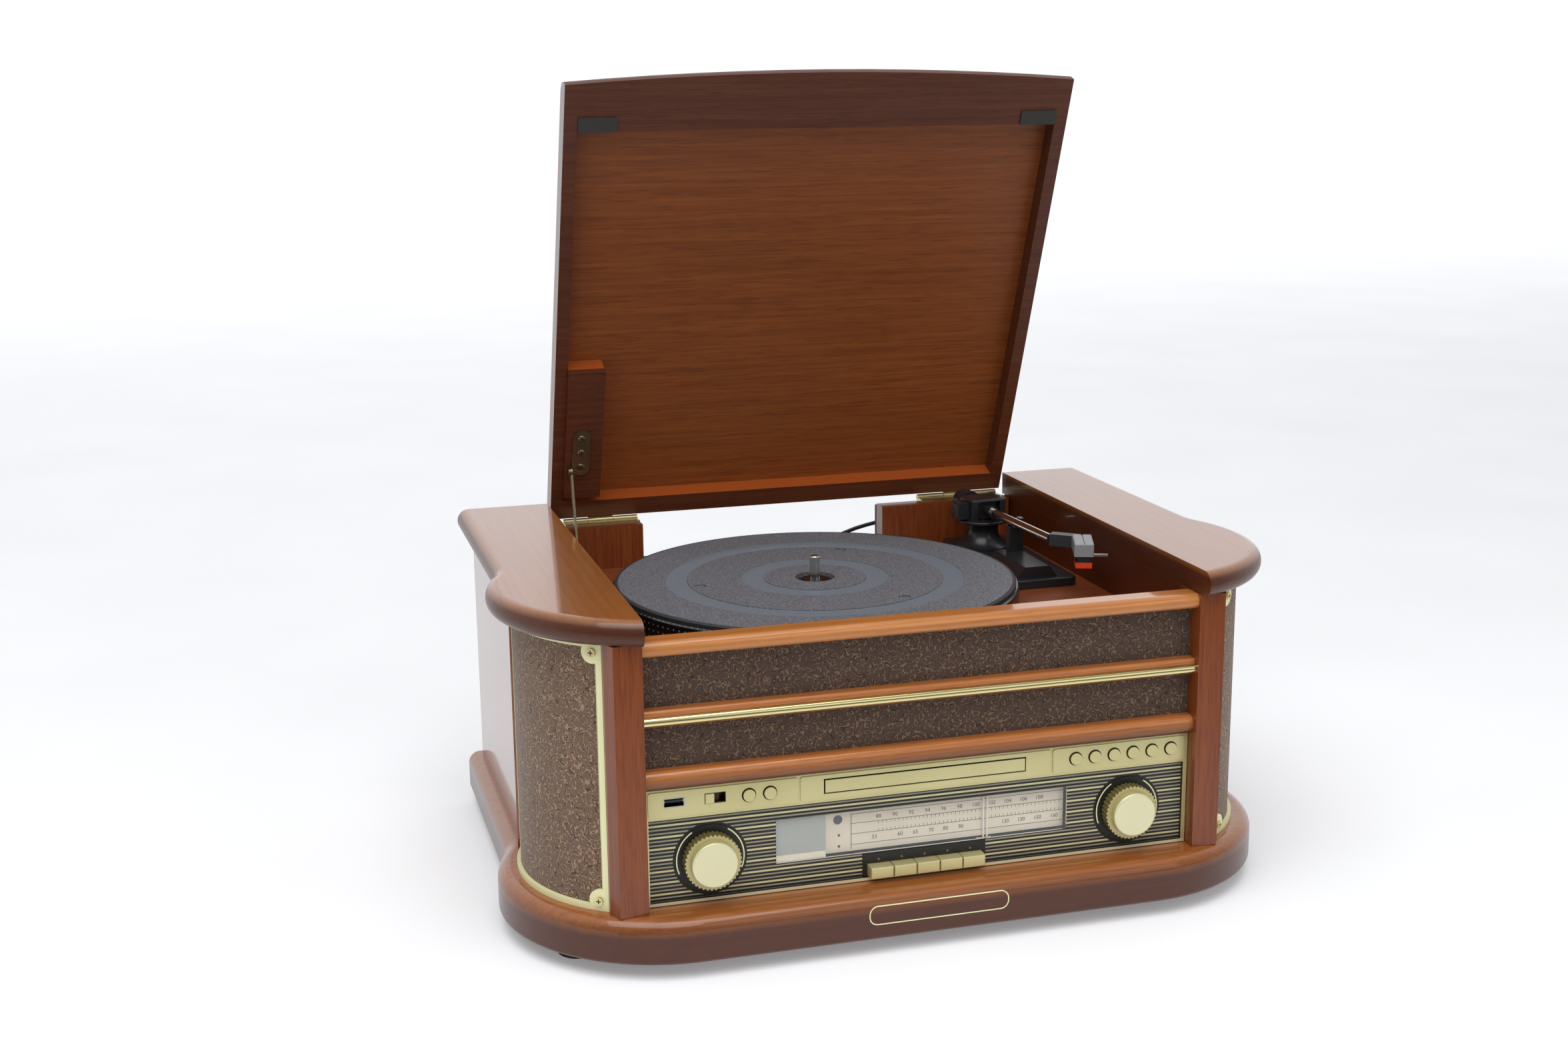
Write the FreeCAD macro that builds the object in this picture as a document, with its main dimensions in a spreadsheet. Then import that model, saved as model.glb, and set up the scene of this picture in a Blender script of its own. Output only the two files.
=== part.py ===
import FreeCAD, Part
import Sketcher
import math
import os
import re

# Retro wooden music center: record player, radio, disc drawer and two side speakers.
# Millimetres. X to the right, Y to the back, Z up, floor at zero.
# Y sizes are measured from the front faces of the two posts and Z sizes from the top of the plinth.

SIZES = {
    # Placing and fits
    "face_y": -166.227,
    "seat_gap": 0.1,
    "run_gap": 0.4,
    "shaft_gap": 0.05,
    "lap": 1,
    # Plinth and feet
    "foot_tall": 10,
    "foot_radius": 14,
    "foot_front_in": 23.5,
    "foot_front_y": 48,
    "foot_rear_in": 10.5,
    "foot_rear_back": 20,
    "base_thick": 28,
    "base_low_round": 3,
    # Plan outline shared by plinth, caps, side panels and grilles
    "bulge_in": 88.5,
    "bulge_out": 7.5,
    "bulge_radius": 99.5,
    "hollow_radius": 40,
    "speaker_wide": 58.5,
    "rear_edge": 332,
    "edge_round": 8.3,
    "edge_flat": 0.1,
    # Posts with the walls behind them, side panels, back
    "post_tall": 169.4,
    "post_inner": 180,
    "post_flat": 17.6,
    "post_bevel_x": 4.4,
    "post_bevel_y": 9,
    "post_deep": 28,
    "wall_thick": 10.6,
    "cap_overhang": 0.6,
    "panel_inset": 2,
    "panel_thick": 12,
    "rear_inset": 2,
    "back_thick": 4,
    "back_drop": 1.4,
    "notch_rise": 3,
    "cleat_deep": 10,
    "cleat_tall": 10,
    # Speaker fronts
    "grille_inset": 4.5,
    "grille_thick": 2.5,
    "grille_band": 3.4,
    "grille_post_band": 3,
    "grille_end_band": 4,
    "boss_radius": 7,
    "boss_in": 5.0724,
    "boss_rise": 6.5,
    "screw_radius": 2.6,
    "screw_head": 1.6,
    "cloth_thick": 2,
    "baffle_thick": 4,
    "speaker_hole": 29,
    "flange_radius": 33,
    "flange_thick": 2.5,
    "basket_share": 0.385,
    "magnet_radius": 15,
    "magnet_share": 0.335,
    # Front between the posts
    "rail_front": 1.5,
    "rail_rear": 17.4,
    "rail_tall": 9.6,
    "rail_round": 4.6,
    "board_front": 15,
    "band_front": 13,
    "strip_front": 5,
    "strip_tall": 10.5,
    "upper_cloth_tall": 33.3,
    "strip_round": 2,
    "rod_radius": 2.9,
    "rod_seat": 3.9,
    "ledge_front": 4,
    "ledge_tall": 12.6,
    "ledge_round": 5,
    # Control bezel
    "bezel_gap": 0.3,
    "bezel_low": 0.5,
    "bezel_high": 75.4,
    "bezel_front": 10.5,
    "bezel_thick": 2.5,
    "bezel_rim": 2.6,
    "field_drop": 17.9,
    "field_rim": 1.9,
    "field_rise": 0.8,
    "field_round": 1.5,
    "field_gap": 1.6,
    "field_left_wide": 97.1,
    "field_right_wide": 95.1,
    # Fascia, dial and knobs
    "fascia_thick": 2.4,
    "disc_floor": 5.2,
    "disc_rise": 0.7,
    "knob_in": 41,
    "knob_lower": 3.5,
    "disc_show": 4,
    "skirt_deep": 7.6,
    "knurl_radius": 0.8,
    "knurl_count": 40,
    "skirt_show": 3.4,
    "knob_cap_deep": 5,
    "knob_cap_round": 1.2,
    "stem_radius": 3,
    "window_in": 82.7,
    "window_low": 17.8,
    "window_drop": 11.1,
    "window_thick": 1.8,
    "lcd_wide": 32.6,
    "scale_thick": 1.5,
    "pointer_in": 54.3,
    "pointer_blade": 0.9,
    "pointer_pitch": 2.6,
    "pointer_thick": 0.8,
    "carriage_half": 5,
    "carriage_tall": 4.6,
    "carriage_deep": 3.6,
    "track_radius": 1.2,
    "track_z": 13.7,
    "track_left_over": 6,
    "track_right_over": 4,
    "chassis_front": 21.4,
    "chassis_thick": 2.6,
    "chassis_inset": 3,
    "standoff_half": 3,
    "standoff_out": 12,
    "standoff_drop": 8,
    "switch_reach": 6,
    # Keys, buttons, switch, socket
    "key_pitch": 15.3,
    "key_gap": 0.6,
    "key_low": 3.2,
    "key_high": 10.6,
    "key_front": 4,
    "key_plate_half": 41,
    "key_plate_high": 17.4,
    "key_travel": 2.5,
    "key_round": 0.8,
    "button_radius": 3.8,
    "button_flange": 5.2,
    "button_gap": 0.75,
    "button_flange_deep": 1.6,
    "button_front": 8.3,
    "button_travel": 1.2,
    "button_drop": 9.4,
    "pair_in": 65.2,
    "row_in": 78.8,
    "button_pitch": 13.27,
    "switch_in": 37.5,
    "switch_wide": 13.2,
    "switch_drop": 12.2,
    "switch_tall": 6.8,
    "slider_wide": 5.4,
    "slider_front": 9,
    "slider_lap": 4,
    "usb_in": 11.9,
    "usb_wide": 13.1,
    "usb_drop": 11.9,
    "usb_tall": 5.9,
    "usb_wall": 0.5,
    "usb_deep": 11,
    # Disc drawer
    "tray_half": 66,
    "tray_drop": 13.4,
    "tray_tall": 8,
    "tray_front": 9.4,
    "tray_gap": 0.9,
    "tray_lip": 3.5,
    "tray_body_tall": 5,
    "tray_deep": 172,
    "tray_floor": 2.2,
    "well_side": 2.1,
    "disc_well_y": 84,
    "well_slot_half": 9,
    "lens_back": 10,
    "lens_end": 12,
    "drive_front": 26,
    "drive_deep": 156,
    "drive_wall": 6,
    "drive_floor": 3,
    "drive_over": 2,
    "drive_leg": 9,
    "drive_bar_far": 30,
    "drive_bar_near": 10,
    "drive_bar_thick": 2,
    # Deck, platter and spindle
    "deck_drop": 31.4,
    "deck_thick": 6,
    "platter_x": -27.2,
    "platter_front_gap": 1.6,
    "platter_side": 42,
    "platter_clear": 3.5,
    "platter_hollow": 7.5,
    "platter_tall": 15.8,
    "platter_bevel": 1,
    "platter_rim": 5,
    "mat_in": 2.1,
    "mat_thick": 3,
    "mat_bevel": 0.8,
    "mat_hole": 13.5,
    "ring_deep": 0.5,
    "inner_ring_near": 34.8,
    "inner_ring_far": 50.3,
    "outer_ring_near": 86.5,
    "outer_ring_far": 101.3,
    "dimple_reach": 80,
    "dimple_radius": 4.2,
    "dimple_deep": 1,
    "boss_hub": 9,
    "boss_hub_rise": 2,
    "hub_radius": 14,
    "bearing_radius": 16,
    "bearing_tall": 7.5,
    "bearing_flange": 2,
    "spindle_radius": 3.55,
    "spindle_rise": 15,
    "spindle_round": 1.5,
    "transit_in": 80,
    "transit_back": 42,
    "transit_radius": 6,
    "transit_rise": 5,
    # Record arm
    "arm_in": 42,
    "arm_back": 66,
    "arm_rise": 36,
    "arm_yaw": 3.9,
    "plinth_left_in": 21,
    "plinth_right_in": 30,
    "plinth_ahead": 108,
    "plinth_behind": 34,
    "plinth_rise": 6.5,
    "plinth_round": 6,
    "plinth_edge": 1.2,
    "housing_radius": 11.5,
    "housing_rise": 25.6,
    "dome_radius": 20.5,
    "dome_lip": 2,
    "dome_rise": 11.5,
    "dome_curve": 13,
    "collar_radius": 4.4,
    "collar_near": 13,
    "collar_long": 6,
    "turret_radius": 19,
    "turret_thick": 2.4,
    "turret_round": 1,
    "turret_pin": 3,
    "turret_stem": 10,
    "cheek_inner": 9,
    "cheek_thick": 5,
    "cheek_half": 11,
    "cheek_round": 1.5,
    "bridge_gap": 0.7,
    "bridge_thick": 2,
    "side_cap_wide": 9.5,
    "side_cap_half": 7,
    "side_cap_tall": 12,
    "gimbal_half": 7.5,
    "gimbal_tall": 6,
    "axle_radius": 1.5,
    "tube_radius": 3.1,
    "tube_out": 110,
    "weight_radius": 8.5,
    "weight_near": 21,
    "weight_far": 35,
    "stub_radius": 2,
    "elbow_turn": 45,
    "elbow_wide": 8.4,
    "elbow_long": 20,
    "elbow_tall": 8.4,
    "head_side": 9.6,
    "head_ahead": 29,
    "head_turn": -25,
    "head_wide": 13.5,
    "head_long": 30,
    "head_drop": 4,
    "head_tall": 9.2,
    "head_round": 1.2,
    "head_groove": 1,
    "lift_back": 2,
    "lift_long": 9.5,
    "lift_wide": 3,
    "lift_thick": 1.4,
    "cartridge_wide": 8.6,
    "cartridge_long": 19,
    "cartridge_tall": 4.2,
    "cartridge_back": 1,
    "cartridge_round": 1,
    "stylus_wide": 11.6,
    "stylus_long": 14,
    "stylus_tall": 4.4,
    "stylus_back": 0.6,
    "rest_ahead": 52,
    "rest_deep": 6,
    "rest_wide": 9,
    "rest_foot_left": 6,
    "rest_foot_right": 38,
    "rest_foot_front": 6,
    "rest_foot_rear": 62,
    "rest_foot_rise": 8,
    "rest_foot_slope": 7,
    "horn_thick": 3,
    "horn_rise": 3,
    "cue_side": 20,
    "cue_ahead": 16,
    "cue_rise": 11,
    "cue_pin": 1.5,
    "cue_ear": 3,
    "cue_bar": 3.4,
    "cue_reach": 16,
    "cue_knob": 3.2,
    "cue_knob_long": 7,
    # Lid and hinges
    "hinge_out": 2,
    "hinge_rise": 1.2,
    "lid_open": 67.9,
    "lid_side_gap": 1.6,
    "lid_back_gap": 2.5,
    "lid_gap": 1,
    "lid_thick": 15.4,
    "lid_front_over": 8,
    "lid_bow": 7,
    "lid_front_round": 12,
    "lid_recess": 13,
    "lid_side_rail": 9,
    "lid_rear_rail": 14.5,
    "lid_front_rail": 32.5,
    "pad_in": 9.4,
    "pad_wide": 26,
    "pad_deep": 10,
    "pad_thick": 1.6,
    "block_deep": 19.7,
    "block_gap": 1,
    "block_side_gap": 2,
    "block_left_wide": 65,
    "block_right_wide": 104,
    "leaf_thick": 0.85,
    "leaf_deep": 9,
    "leaf_tall": 12,
    "leaf_left_in": 9.7,
    "leaf_left_long": 55.7,
    "leaf_right_long": 65,
    "leaf_right_in": 3.4,
    "barrel_radius": 2.2,
    "barrel_gap": 0.3,
    "pin_radius": 1.2,
    # Lid stay
    "stay_block_in": 9.1,
    "stay_block_wide": 26.3,
    "stay_block_rear": 21,
    "stay_block_long": 106,
    "stay_block_drop": 5,
    "bracket_in": 4.3,
    "bracket_wide": 13,
    "bracket_rear": 42,
    "bracket_long": 38,
    "bracket_thick": 1.4,
    "bracket_round": 6.4,
    "bracket_flange": 5.4,
    "rivet_back": 47,
    "rivet_drop": 9,
    "rivet_radius": 1.5,
    "rivet_head": 2.6,
    "rivet_cap": 0.8,
    "rivet_reach": 0.5,
    "stay_thick": 1.6,
    "stay_half": 2.2,
    "stay_eye": 3.2,
    "slot_clear": 2,
    "stay_long": 96,
    "stay_lean": 15.3,
    "slot_front_back": 54,
    "slot_rear_back": 28,
    # Mains lead
    "cord_radius": 1.6,
    "gland_x": 120,
    "gland_rise": 8,
    "gland_radius": 7,
    "gland_thick": 2.5,
    "relief_long": 18.5,
    "relief_root": 4,
    "relief_tip": 2.3,
    "lead_straight": 18,
    "lead_landing": 22,
    "coil_pitch": 3.68,
    "coil_mean": 17.6,
    "coil_x": -56,
    "coil_out": 62,
    "tail_long": 27,
    "tie_wide": 6,
    "tie_thick": 0.6,
    "tie_gap": 0.15,
    "tie_slack": 0.6,
    "plug_long": 34,
    "plug_round": 3,
    "prong_radius": 2,
    "prong_long": 19,
    "prong_half": 9.5,
}

# Sizes that follow from others, so that neighbours stay together
TIED = {
    "bezel_half": "post_inner - bezel_gap",
    "knob_x": "bezel_half - knob_in",
    "usb_left": "-(bezel_half - usb_in)",
    "switch_left": "-(bezel_half - switch_in)",
    "pair_x": "-(bezel_half - pair_in)",
    "row_x": "bezel_half - row_in",
    "field_left": "-(bezel_half - field_left_wide)",
    "field_right": "bezel_half - field_right_wide",
    "lid_half": "post_inner - lid_side_gap",
    "block_outer": "post_inner - block_side_gap",
    "block_left_inner": "block_outer - block_left_wide",
    "block_right_inner": "block_outer - block_right_wide",
    "leaf_left_outer": "-(lid_half - leaf_left_in)",
    "leaf_left_inner": "leaf_left_outer + leaf_left_long",
    "leaf_right_outer": "lid_half - leaf_right_in",
    "leaf_right_inner": "leaf_right_outer - leaf_right_long",
    "stay_block_outer": "lid_half - stay_block_in",
    "stay_block_inner": "stay_block_outer - stay_block_wide",
    "bracket_outer": "stay_block_outer - bracket_in",
    "bracket_inner": "bracket_outer - bracket_wide",
    "pad_outer": "lid_half - pad_in",
    "pad_inner": "pad_outer - pad_wide",
    "platter_radius": "post_inner - platter_side",
    "mat_radius": "platter_radius - mat_in",
    "arm_x": "post_inner - arm_in",
    "plinth_left": "arm_x - plinth_left_in",
    "plinth_right": "arm_x + plinth_right_in",
    "transit_x": "post_inner - transit_in",
    "cue_x": "arm_x + cue_side",
    "rail_low": "post_tall - rail_tall",
    "strip_high": "rail_low - upper_cloth_tall",
    "strip_low": "strip_high - strip_tall",
    "rod_rise": "strip_low + rod_seat",
    "deck_top": "post_tall - deck_drop",
    "platter_low": "deck_top + platter_clear",
    "platter_web": "platter_low + platter_hollow",
    "platter_high": "platter_low + platter_tall",
    "mat_high": "platter_high + mat_thick",
    "bearing_high": "deck_top + bearing_tall",
    "arm_z": "deck_top + arm_rise",
    "housing_high": "deck_top + housing_rise",
    "head_low": "arm_z - head_drop",
    "head_high": "head_low + head_tall",
    "cartridge_low": "head_low - cartridge_tall",
    "stylus_low": "cartridge_low - stylus_tall",
    "cue_z": "deck_top + cue_rise",
    "hinge_z": "post_tall + hinge_rise",
    "lid_low": "hinge_z + lid_gap",
    "block_high": "hinge_z - block_gap",
    "back_tall": "post_tall - back_drop",
    "notch_floor": "deck_top + notch_rise",
    "gland_z": "deck_top + gland_rise",
    "speaker_mid": "post_tall / 2",
    "foot_rear_y": "rear_edge - foot_rear_back",
    "side_edge": "post_inner + speaker_wide",
    "ledge_high": "bezel_high + ledge_tall",
    "field_low": "bezel_high - field_drop",
    "knob_z": "(field_low - knob_lower) / 2",
    "disc_radius": "knob_z - disc_floor",
    "skirt_radius": "disc_radius - disc_show",
    "knob_cap_radius": "skirt_radius - skirt_show",
    "window_high": "field_low - window_drop",
    "window_half": "bezel_half - window_in",
    "lcd_edge": "-window_half + lcd_wide",
    "pointer_x": "window_half - pointer_in",
    "button_z": "bezel_high - button_drop",
    "switch_low": "bezel_high - switch_drop",
    "usb_low": "bezel_high - usb_drop",
    "tray_low": "bezel_high - tray_drop",
    "tray_high": "tray_low + tray_tall",
    "drive_high": "tray_high + drive_over",
    "tray_body_half": "tray_half - tray_lip",
    "disc_well": "tray_body_half - well_side",
    "platter_y": "rail_rear + platter_front_gap + platter_radius",
    "transit_y": "rear_edge - transit_back",
    "arm_y": "rear_edge - arm_back",
    "plinth_front": "arm_y - plinth_ahead",
    "plinth_rear": "arm_y + plinth_behind",
    "head_out": "tube_out + head_ahead",
    "rest_y": "arm_y - rest_ahead",
    "cue_y": "arm_y - cue_ahead",
    "hinge_y": "rear_edge + hinge_out",
    "lid_rear": "hinge_y - lid_back_gap",
    "block_front": "rear_edge - block_deep",
    "stay_slot_front": "rear_edge - slot_front_back",
    "stay_slot_rear": "rear_edge - slot_rear_back",
    "coil_y": "rear_edge + coil_out",
    "foot_front_x": "side_edge - foot_front_in",
    "foot_rear_x": "side_edge - foot_rear_in",
    "bulge_x": "side_edge - bulge_in",
    "bulge_y": "bulge_radius - bulge_out",
}

# Turns of the put-away lead, in quarter turns
LAYERS = 4
QUARTERS = 8

# Counts of keys and of the two groups of buttons, and the slack for telling edges apart
KEYS = 5
PAIR = 2
ROW = 6
TINY = 0.01

doc = FreeCAD.newDocument("MusicCenter")
sheet = doc.addObject("Spreadsheet::Sheet", "Sheet")
for row, (word, value) in enumerate(SIZES.items(), 1):
    sheet.set(f"A{row}", word)
    sheet.set(f"B{row}", str(value))
    sheet.setAlias(f"B{row}", word)
probe = doc.addObject("App::FeaturePython", "Probe")
probe.addProperty("App::PropertyFloat", "Reading")
doc.recompute()
nodes = []


# Reading and binding sizes

def bind(text):
    """Spell a formula of size names as an expression on the sheet."""
    def spell(match):
        word = match.group()
        if word in TIED:
            return f"({bind(TIED[word])})"
        return f"Sheet.{word}" if word in SIZES else word
    return re.sub(r"[a-z][a-z0-9_]*", spell, str(text))


def number(text):
    """Value of a formula of size names."""
    probe.setExpression("Reading", bind(text))
    probe.recompute()
    return probe.Reading


def vector(x, y, z):
    return FreeCAD.Vector(number(x), number(y), number(z))


def back(text):
    """Y in the part's frame of a distance behind the post faces."""
    return f"(face_y + {text})"


def up(text):
    """Z in the part's frame of a height above the plinth."""
    return f"(foot_tall + base_thick + {text})"


def put(item, x, y, z):
    """Bind a position given in the frame of the post faces and the plinth's top."""
    item.setExpression("Placement.Base.x", bind(x))
    item.setExpression("Placement.Base.y", bind(back(y)))
    item.setExpression("Placement.Base.z", bind(up(z)))
    return item


# Solids

def box(name, x, y, z):
    item = doc.addObject("Part::Box", name)
    for side, span in (("Length", x), ("Width", y), ("Height", z)):
        item.setExpression(side, bind(f"{span[1]} - ({span[0]})"))
    return put(item, x[0], y[0], z[0])


def rod(name, axis, at, radius, length):
    """Cylinder from a point along an axis: x, y or z."""
    item = doc.addObject("Part::Cylinder", name)
    item.setExpression("Radius", bind(radius))
    item.setExpression("Height", bind(length))
    turns = {"x": ((0, 1, 0), 90), "y": ((1, 0, 0), -90), "z": ((0, 0, 1), 0)}
    line, angle = turns[axis]
    item.Placement.Rotation = FreeCAD.Rotation(FreeCAD.Vector(*line), angle)
    return put(item, *at)


def join(name, items):
    item = doc.addObject("Part::MultiFuse", name)
    item.Shapes = items
    item.Refine = True
    return item


def cut(name, base, tools):
    item = doc.addObject("Part::Cut", name)
    item.Base = base
    item.Tool = tools[0] if len(tools) == 1 else join(name + "_tools", tools)
    return item


def gather(name, items):
    item = doc.addObject("Part::Compound", name)
    item.Links = items
    return item


def mirrored(name, source):
    item = doc.addObject("Part::Mirroring", name)
    item.Source = source
    item.Normal = FreeCAD.Vector(1, 0, 0)
    return item


def keep(item):
    """Hand a finished piece in as a node of the assembly."""
    nodes.append(item)
    return item


# Sketched solids

def middle(start, end, radius, turn):
    """Centre of the arc between two points, to the left of the way for a positive turn."""
    way = end - start
    side = FreeCAD.Vector(-way.y, way.x, 0).normalize() * turn
    return (start + end) * 0.5 + side * math.sqrt(radius ** 2 - (way.Length / 2) ** 2)


def arc(start, end, radius, turn):
    centre = middle(start, end, radius, turn)
    first, last = (start, end) if turn > 0 else (end, start)
    angles = [math.atan2(p.y - centre.y, p.x - centre.x) for p in (first, last)]
    circle = Part.Circle(centre, FreeCAD.Vector(0, 0, 1), radius)
    return Part.ArcOfCircle(circle, angles[0], angles[1])


def draw(sketch, corners):
    """Closed loop through the corners. A corner with a radius and a turn starts an arc."""
    points = [FreeCAD.Vector(number(c[0]), number(c[1]), 0) for c in corners]
    first = sketch.GeometryCount
    ends = []
    for i, corner in enumerate(corners):
        start, end = points[i], points[(i + 1) % len(points)]
        if len(corner) == 2:
            sketch.addGeometry(Part.LineSegment(start, end))
            ends.append((1, 2))
        else:
            sketch.addGeometry(arc(start, end, number(corner[2]), corner[3]))
            ends.append((1, 2) if corner[3] > 0 else (2, 1))
    for i, corner in enumerate(corners):
        line, before = first + i, first + (i - 1) % len(corners)
        sketch.addConstraint(Sketcher.Constraint(
            "Coincident", before, ends[i - 1][1], line, ends[i][0]))
        for kind, text in (("DistanceX", corner[0]), ("DistanceY", corner[1])):
            fixed = sketch.addConstraint(Sketcher.Constraint(
                kind, -1, 1, line, ends[i][0], number(text)))
            sketch.setExpression(f"Constraints[{fixed}]", bind(text))
        if len(corner) > 2:
            fixed = sketch.addConstraint(Sketcher.Constraint("Radius", line, number(corner[2])))
            sketch.setExpression(f"Constraints[{fixed}]", bind(corner[2]))


def sketch_on(body, role, offset):
    sketch = body.newObject("Sketcher::SketchObject", body.Name + "_sketch")
    planes = [f for f in body.Origin.OriginFeatures if f.Role == role]
    sketch.AttachmentSupport = [(planes[0], "")]
    sketch.MapMode = "FlatFace"
    sketch.setExpression("AttachmentOffset.Base.z", bind(offset))
    return sketch


def pad(name, plane, low, high, corners):
    """Outline drawn on a plane (xy, xz or yz) and padded from low to high across it."""
    body = doc.addObject("PartDesign::Body", name)
    if plane == "xy":
        role, offset = "XY_Plane", up(low)
        loop = [(c[0], back(c[1])) + tuple(c[2:]) for c in corners]
    elif plane == "xz":
        role, offset = "XZ_Plane", f"-{back(high)}"
        loop = [(c[0], up(c[1])) + tuple(c[2:]) for c in corners]
    else:
        role, offset = "YZ_Plane", low
        loop = [(back(c[0]), up(c[1])) + tuple(c[2:]) for c in corners]
    sketch = sketch_on(body, role, offset)
    draw(sketch, loop)
    slab = body.newObject("PartDesign::Pad", name + "_pad")
    slab.Profile = sketch
    slab.setExpression("Length", bind(f"{high} - ({low})"))
    doc.recompute()
    return body


def rounded(body, radius, chosen):
    """Round the edges of a body that a test picks out."""
    tip = body.Tip
    names = [f"Edge{i}" for i, edge in enumerate(tip.Shape.Edges, 1) if chosen(edge.BoundBox)]
    round_off = body.newObject("PartDesign::Fillet", body.Name + "_round")
    round_off.Base = (tip, names)
    round_off.setExpression("Radius", bind(radius))
    doc.recompute()
    return body


def turned(name, corners):
    """Body turned about its own upright axis from an outline of radius and height."""
    body = doc.addObject("PartDesign::Body", name)
    sketch = sketch_on(body, "XZ_Plane", "0")
    draw(sketch, corners)
    lathe = body.newObject("PartDesign::Revolution", name + "_turn")
    lathe.Profile = sketch
    lathe.ReferenceAxis = (sketch, ["V_Axis"])
    lathe.Angle = 360
    doc.recompute()
    return body


def level(height):
    """Test for edges that lie at one height above the plinth."""
    z = number(up(height))
    return lambda bound: abs(bound.ZMin - z) < TINY and abs(bound.ZMax - z) < TINY


def upright(bound):
    """Test for edges that stand straight up."""
    return bound.XLength < TINY and bound.YLength < TINY


# Plan outline of the cabinet

HOLLOW_X = "(side_edge + hollow_radius)"
REACH = "(bulge_radius + hollow_radius)"
HOLLOW_Y = f"(bulge_y + sqrt({REACH} ^ 2 - ({HOLLOW_X} - bulge_x) ^ 2))"
WAY_X = f"(({HOLLOW_X} - bulge_x) / {REACH})"
WAY_Y = f"(({HOLLOW_Y} - bulge_y) / {REACH})"


def turn_point(offset):
    """Where the bulge turns into the hollow, on the outline moved out by an offset."""
    radius = f"(bulge_radius + ({offset}))"
    return f"(bulge_x + {radius} * {WAY_X})", f"(bulge_y + {radius} * {WAY_Y})"


def bulge_front(x, offset):
    """Y of the bulge at an x, on the outline moved out by an offset."""
    return f"(bulge_y - sqrt((bulge_radius + ({offset})) ^ 2 - ({x} - bulge_x) ^ 2))"


def flank(offset, front, rear):
    """Right flank of the outline, from a front corner round to the rear."""
    radius = f"(bulge_radius + ({offset}))"
    hollow = f"(hollow_radius - ({offset}))"
    side = f"(side_edge + ({offset}))"
    return [
        (front[0], front[1], radius, 1),
        turn_point(offset) + (hollow, -1),
        (side, HOLLOW_Y),
        (side, rear),
    ]


def flipped(corners):
    """The same run of corners mirrored to the left, walked from rear to front."""
    left = []
    for i in range(len(corners) - 1, -1, -1):
        curve = corners[i - 1][2:] if i > 0 else ()
        left.append((f"-{corners[i][0]}", corners[i][1]) + tuple(curve))
    return left


# Plinth and feet

nose = "(bulge_y - bulge_radius - edge_round)"
right_flank = flank("edge_round", ("bulge_x", nose), "rear_edge")
plinth = pad("base_plinth", "xy", "-base_thick", "0", right_flank + flipped(right_flank))
rear_line = number(back("rear_edge")) - TINY
top_edge = level("0")
rounded(plinth, "edge_round", lambda b: top_edge(b) and b.YMin < rear_line)
low_edge = level("-base_thick")
rounded(plinth, "base_low_round", lambda b: low_edge(b) and b.YMin < rear_line)
keep(plinth)

feet = []
for side in ("", "-"):
    for end in ("front", "rear"):
        at = (f"{side}foot_{end}_x", f"foot_{end}_y", "-base_thick - foot_tall")
        feet.append(rod("foot", "z", at, "foot_radius", "foot_tall"))
keep(gather("rubber_feet", feet))

# Posts, each with the inner wall behind it, the cleat under the deck and the speaker's baffle

post_outer = "(post_inner + post_flat + post_bevel_x)"
wall_outer = "(post_inner + wall_thick)"
wall_rear = "(rear_edge - rear_inset - back_thick)"
deck_low = "(deck_top - deck_thick)"
post = pad("post_solid", "xy", "0", "post_tall", [
    ("post_inner", "0"),
    ("post_inner + post_flat", "0"),
    (post_outer, "post_bevel_y"),
    (post_outer, "post_deep"),
    (wall_outer, "post_deep"),
    (wall_outer, wall_rear),
    ("post_inner", wall_rear),
])
cleat = box("cleat", ("post_inner - cleat_deep", "post_inner + lap"), ("post_deep", wall_rear),
            (f"{deck_low} - cleat_tall", deck_low))

# Side panels and caps

inner_skin = "(-panel_inset - panel_thick)"
panel_rear = "(rear_edge - rear_inset)"
outer_turn = turn_point("-panel_inset")
inner_turn = turn_point(inner_skin)
side_r = pad("side_panel_r", "xy", "0", "post_tall", [
    outer_turn + ("hollow_radius + panel_inset", -1),
    ("side_edge - panel_inset", HOLLOW_Y),
    ("side_edge - panel_inset", panel_rear),
    (f"side_edge + {inner_skin}", panel_rear),
    (f"side_edge + {inner_skin}", HOLLOW_Y, f"hollow_radius - {inner_skin}", 1),
    inner_turn,
])
keep(gather("side_panels", [side_r, mirrored("side_panel_l", side_r)]))

cap_inner = "(post_inner + cap_overhang)"
cap_high = "(post_tall + 2 * edge_round)"
cap_nose = (cap_inner, bulge_front(cap_inner, "edge_round"))
cap_r = pad("cap_r", "xy", "post_tall", cap_high,
            flank("edge_round", cap_nose, "rear_edge") + [(cap_inner, "rear_edge")])
cap_levels = [level("post_tall"), level(cap_high)]
cap_line = number(cap_inner) + TINY
rounded(cap_r, "edge_round - edge_flat", lambda b: any(flat(b) for flat in cap_levels)
        and b.XMax > cap_line and b.YMin < rear_line)
keep(gather("caps", [cap_r, mirrored("cap_l", cap_r)]))


# Speaker fronts: curved frame, cloth, baffle and driver

def shell(name, near, far, low, high, start, end):
    """Curved plate between two offsets of the outline, from a line at x to the hollow's start."""
    outer, inner = turn_point(far), turn_point(near)
    return pad(name, "xy", low, high, [
        (start, bulge_front(start, far), f"bulge_radius + ({far})", 1),
        (f"({outer[0]} - {end} * {WAY_Y})", f"({outer[1]} + {end} * {WAY_X})"),
        (f"({inner[0]} - {end} * {WAY_Y})", f"({inner[1]} + {end} * {WAY_X})",
         f"bulge_radius + ({near})", -1),
        (start, bulge_front(start, near)),
    ])


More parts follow.
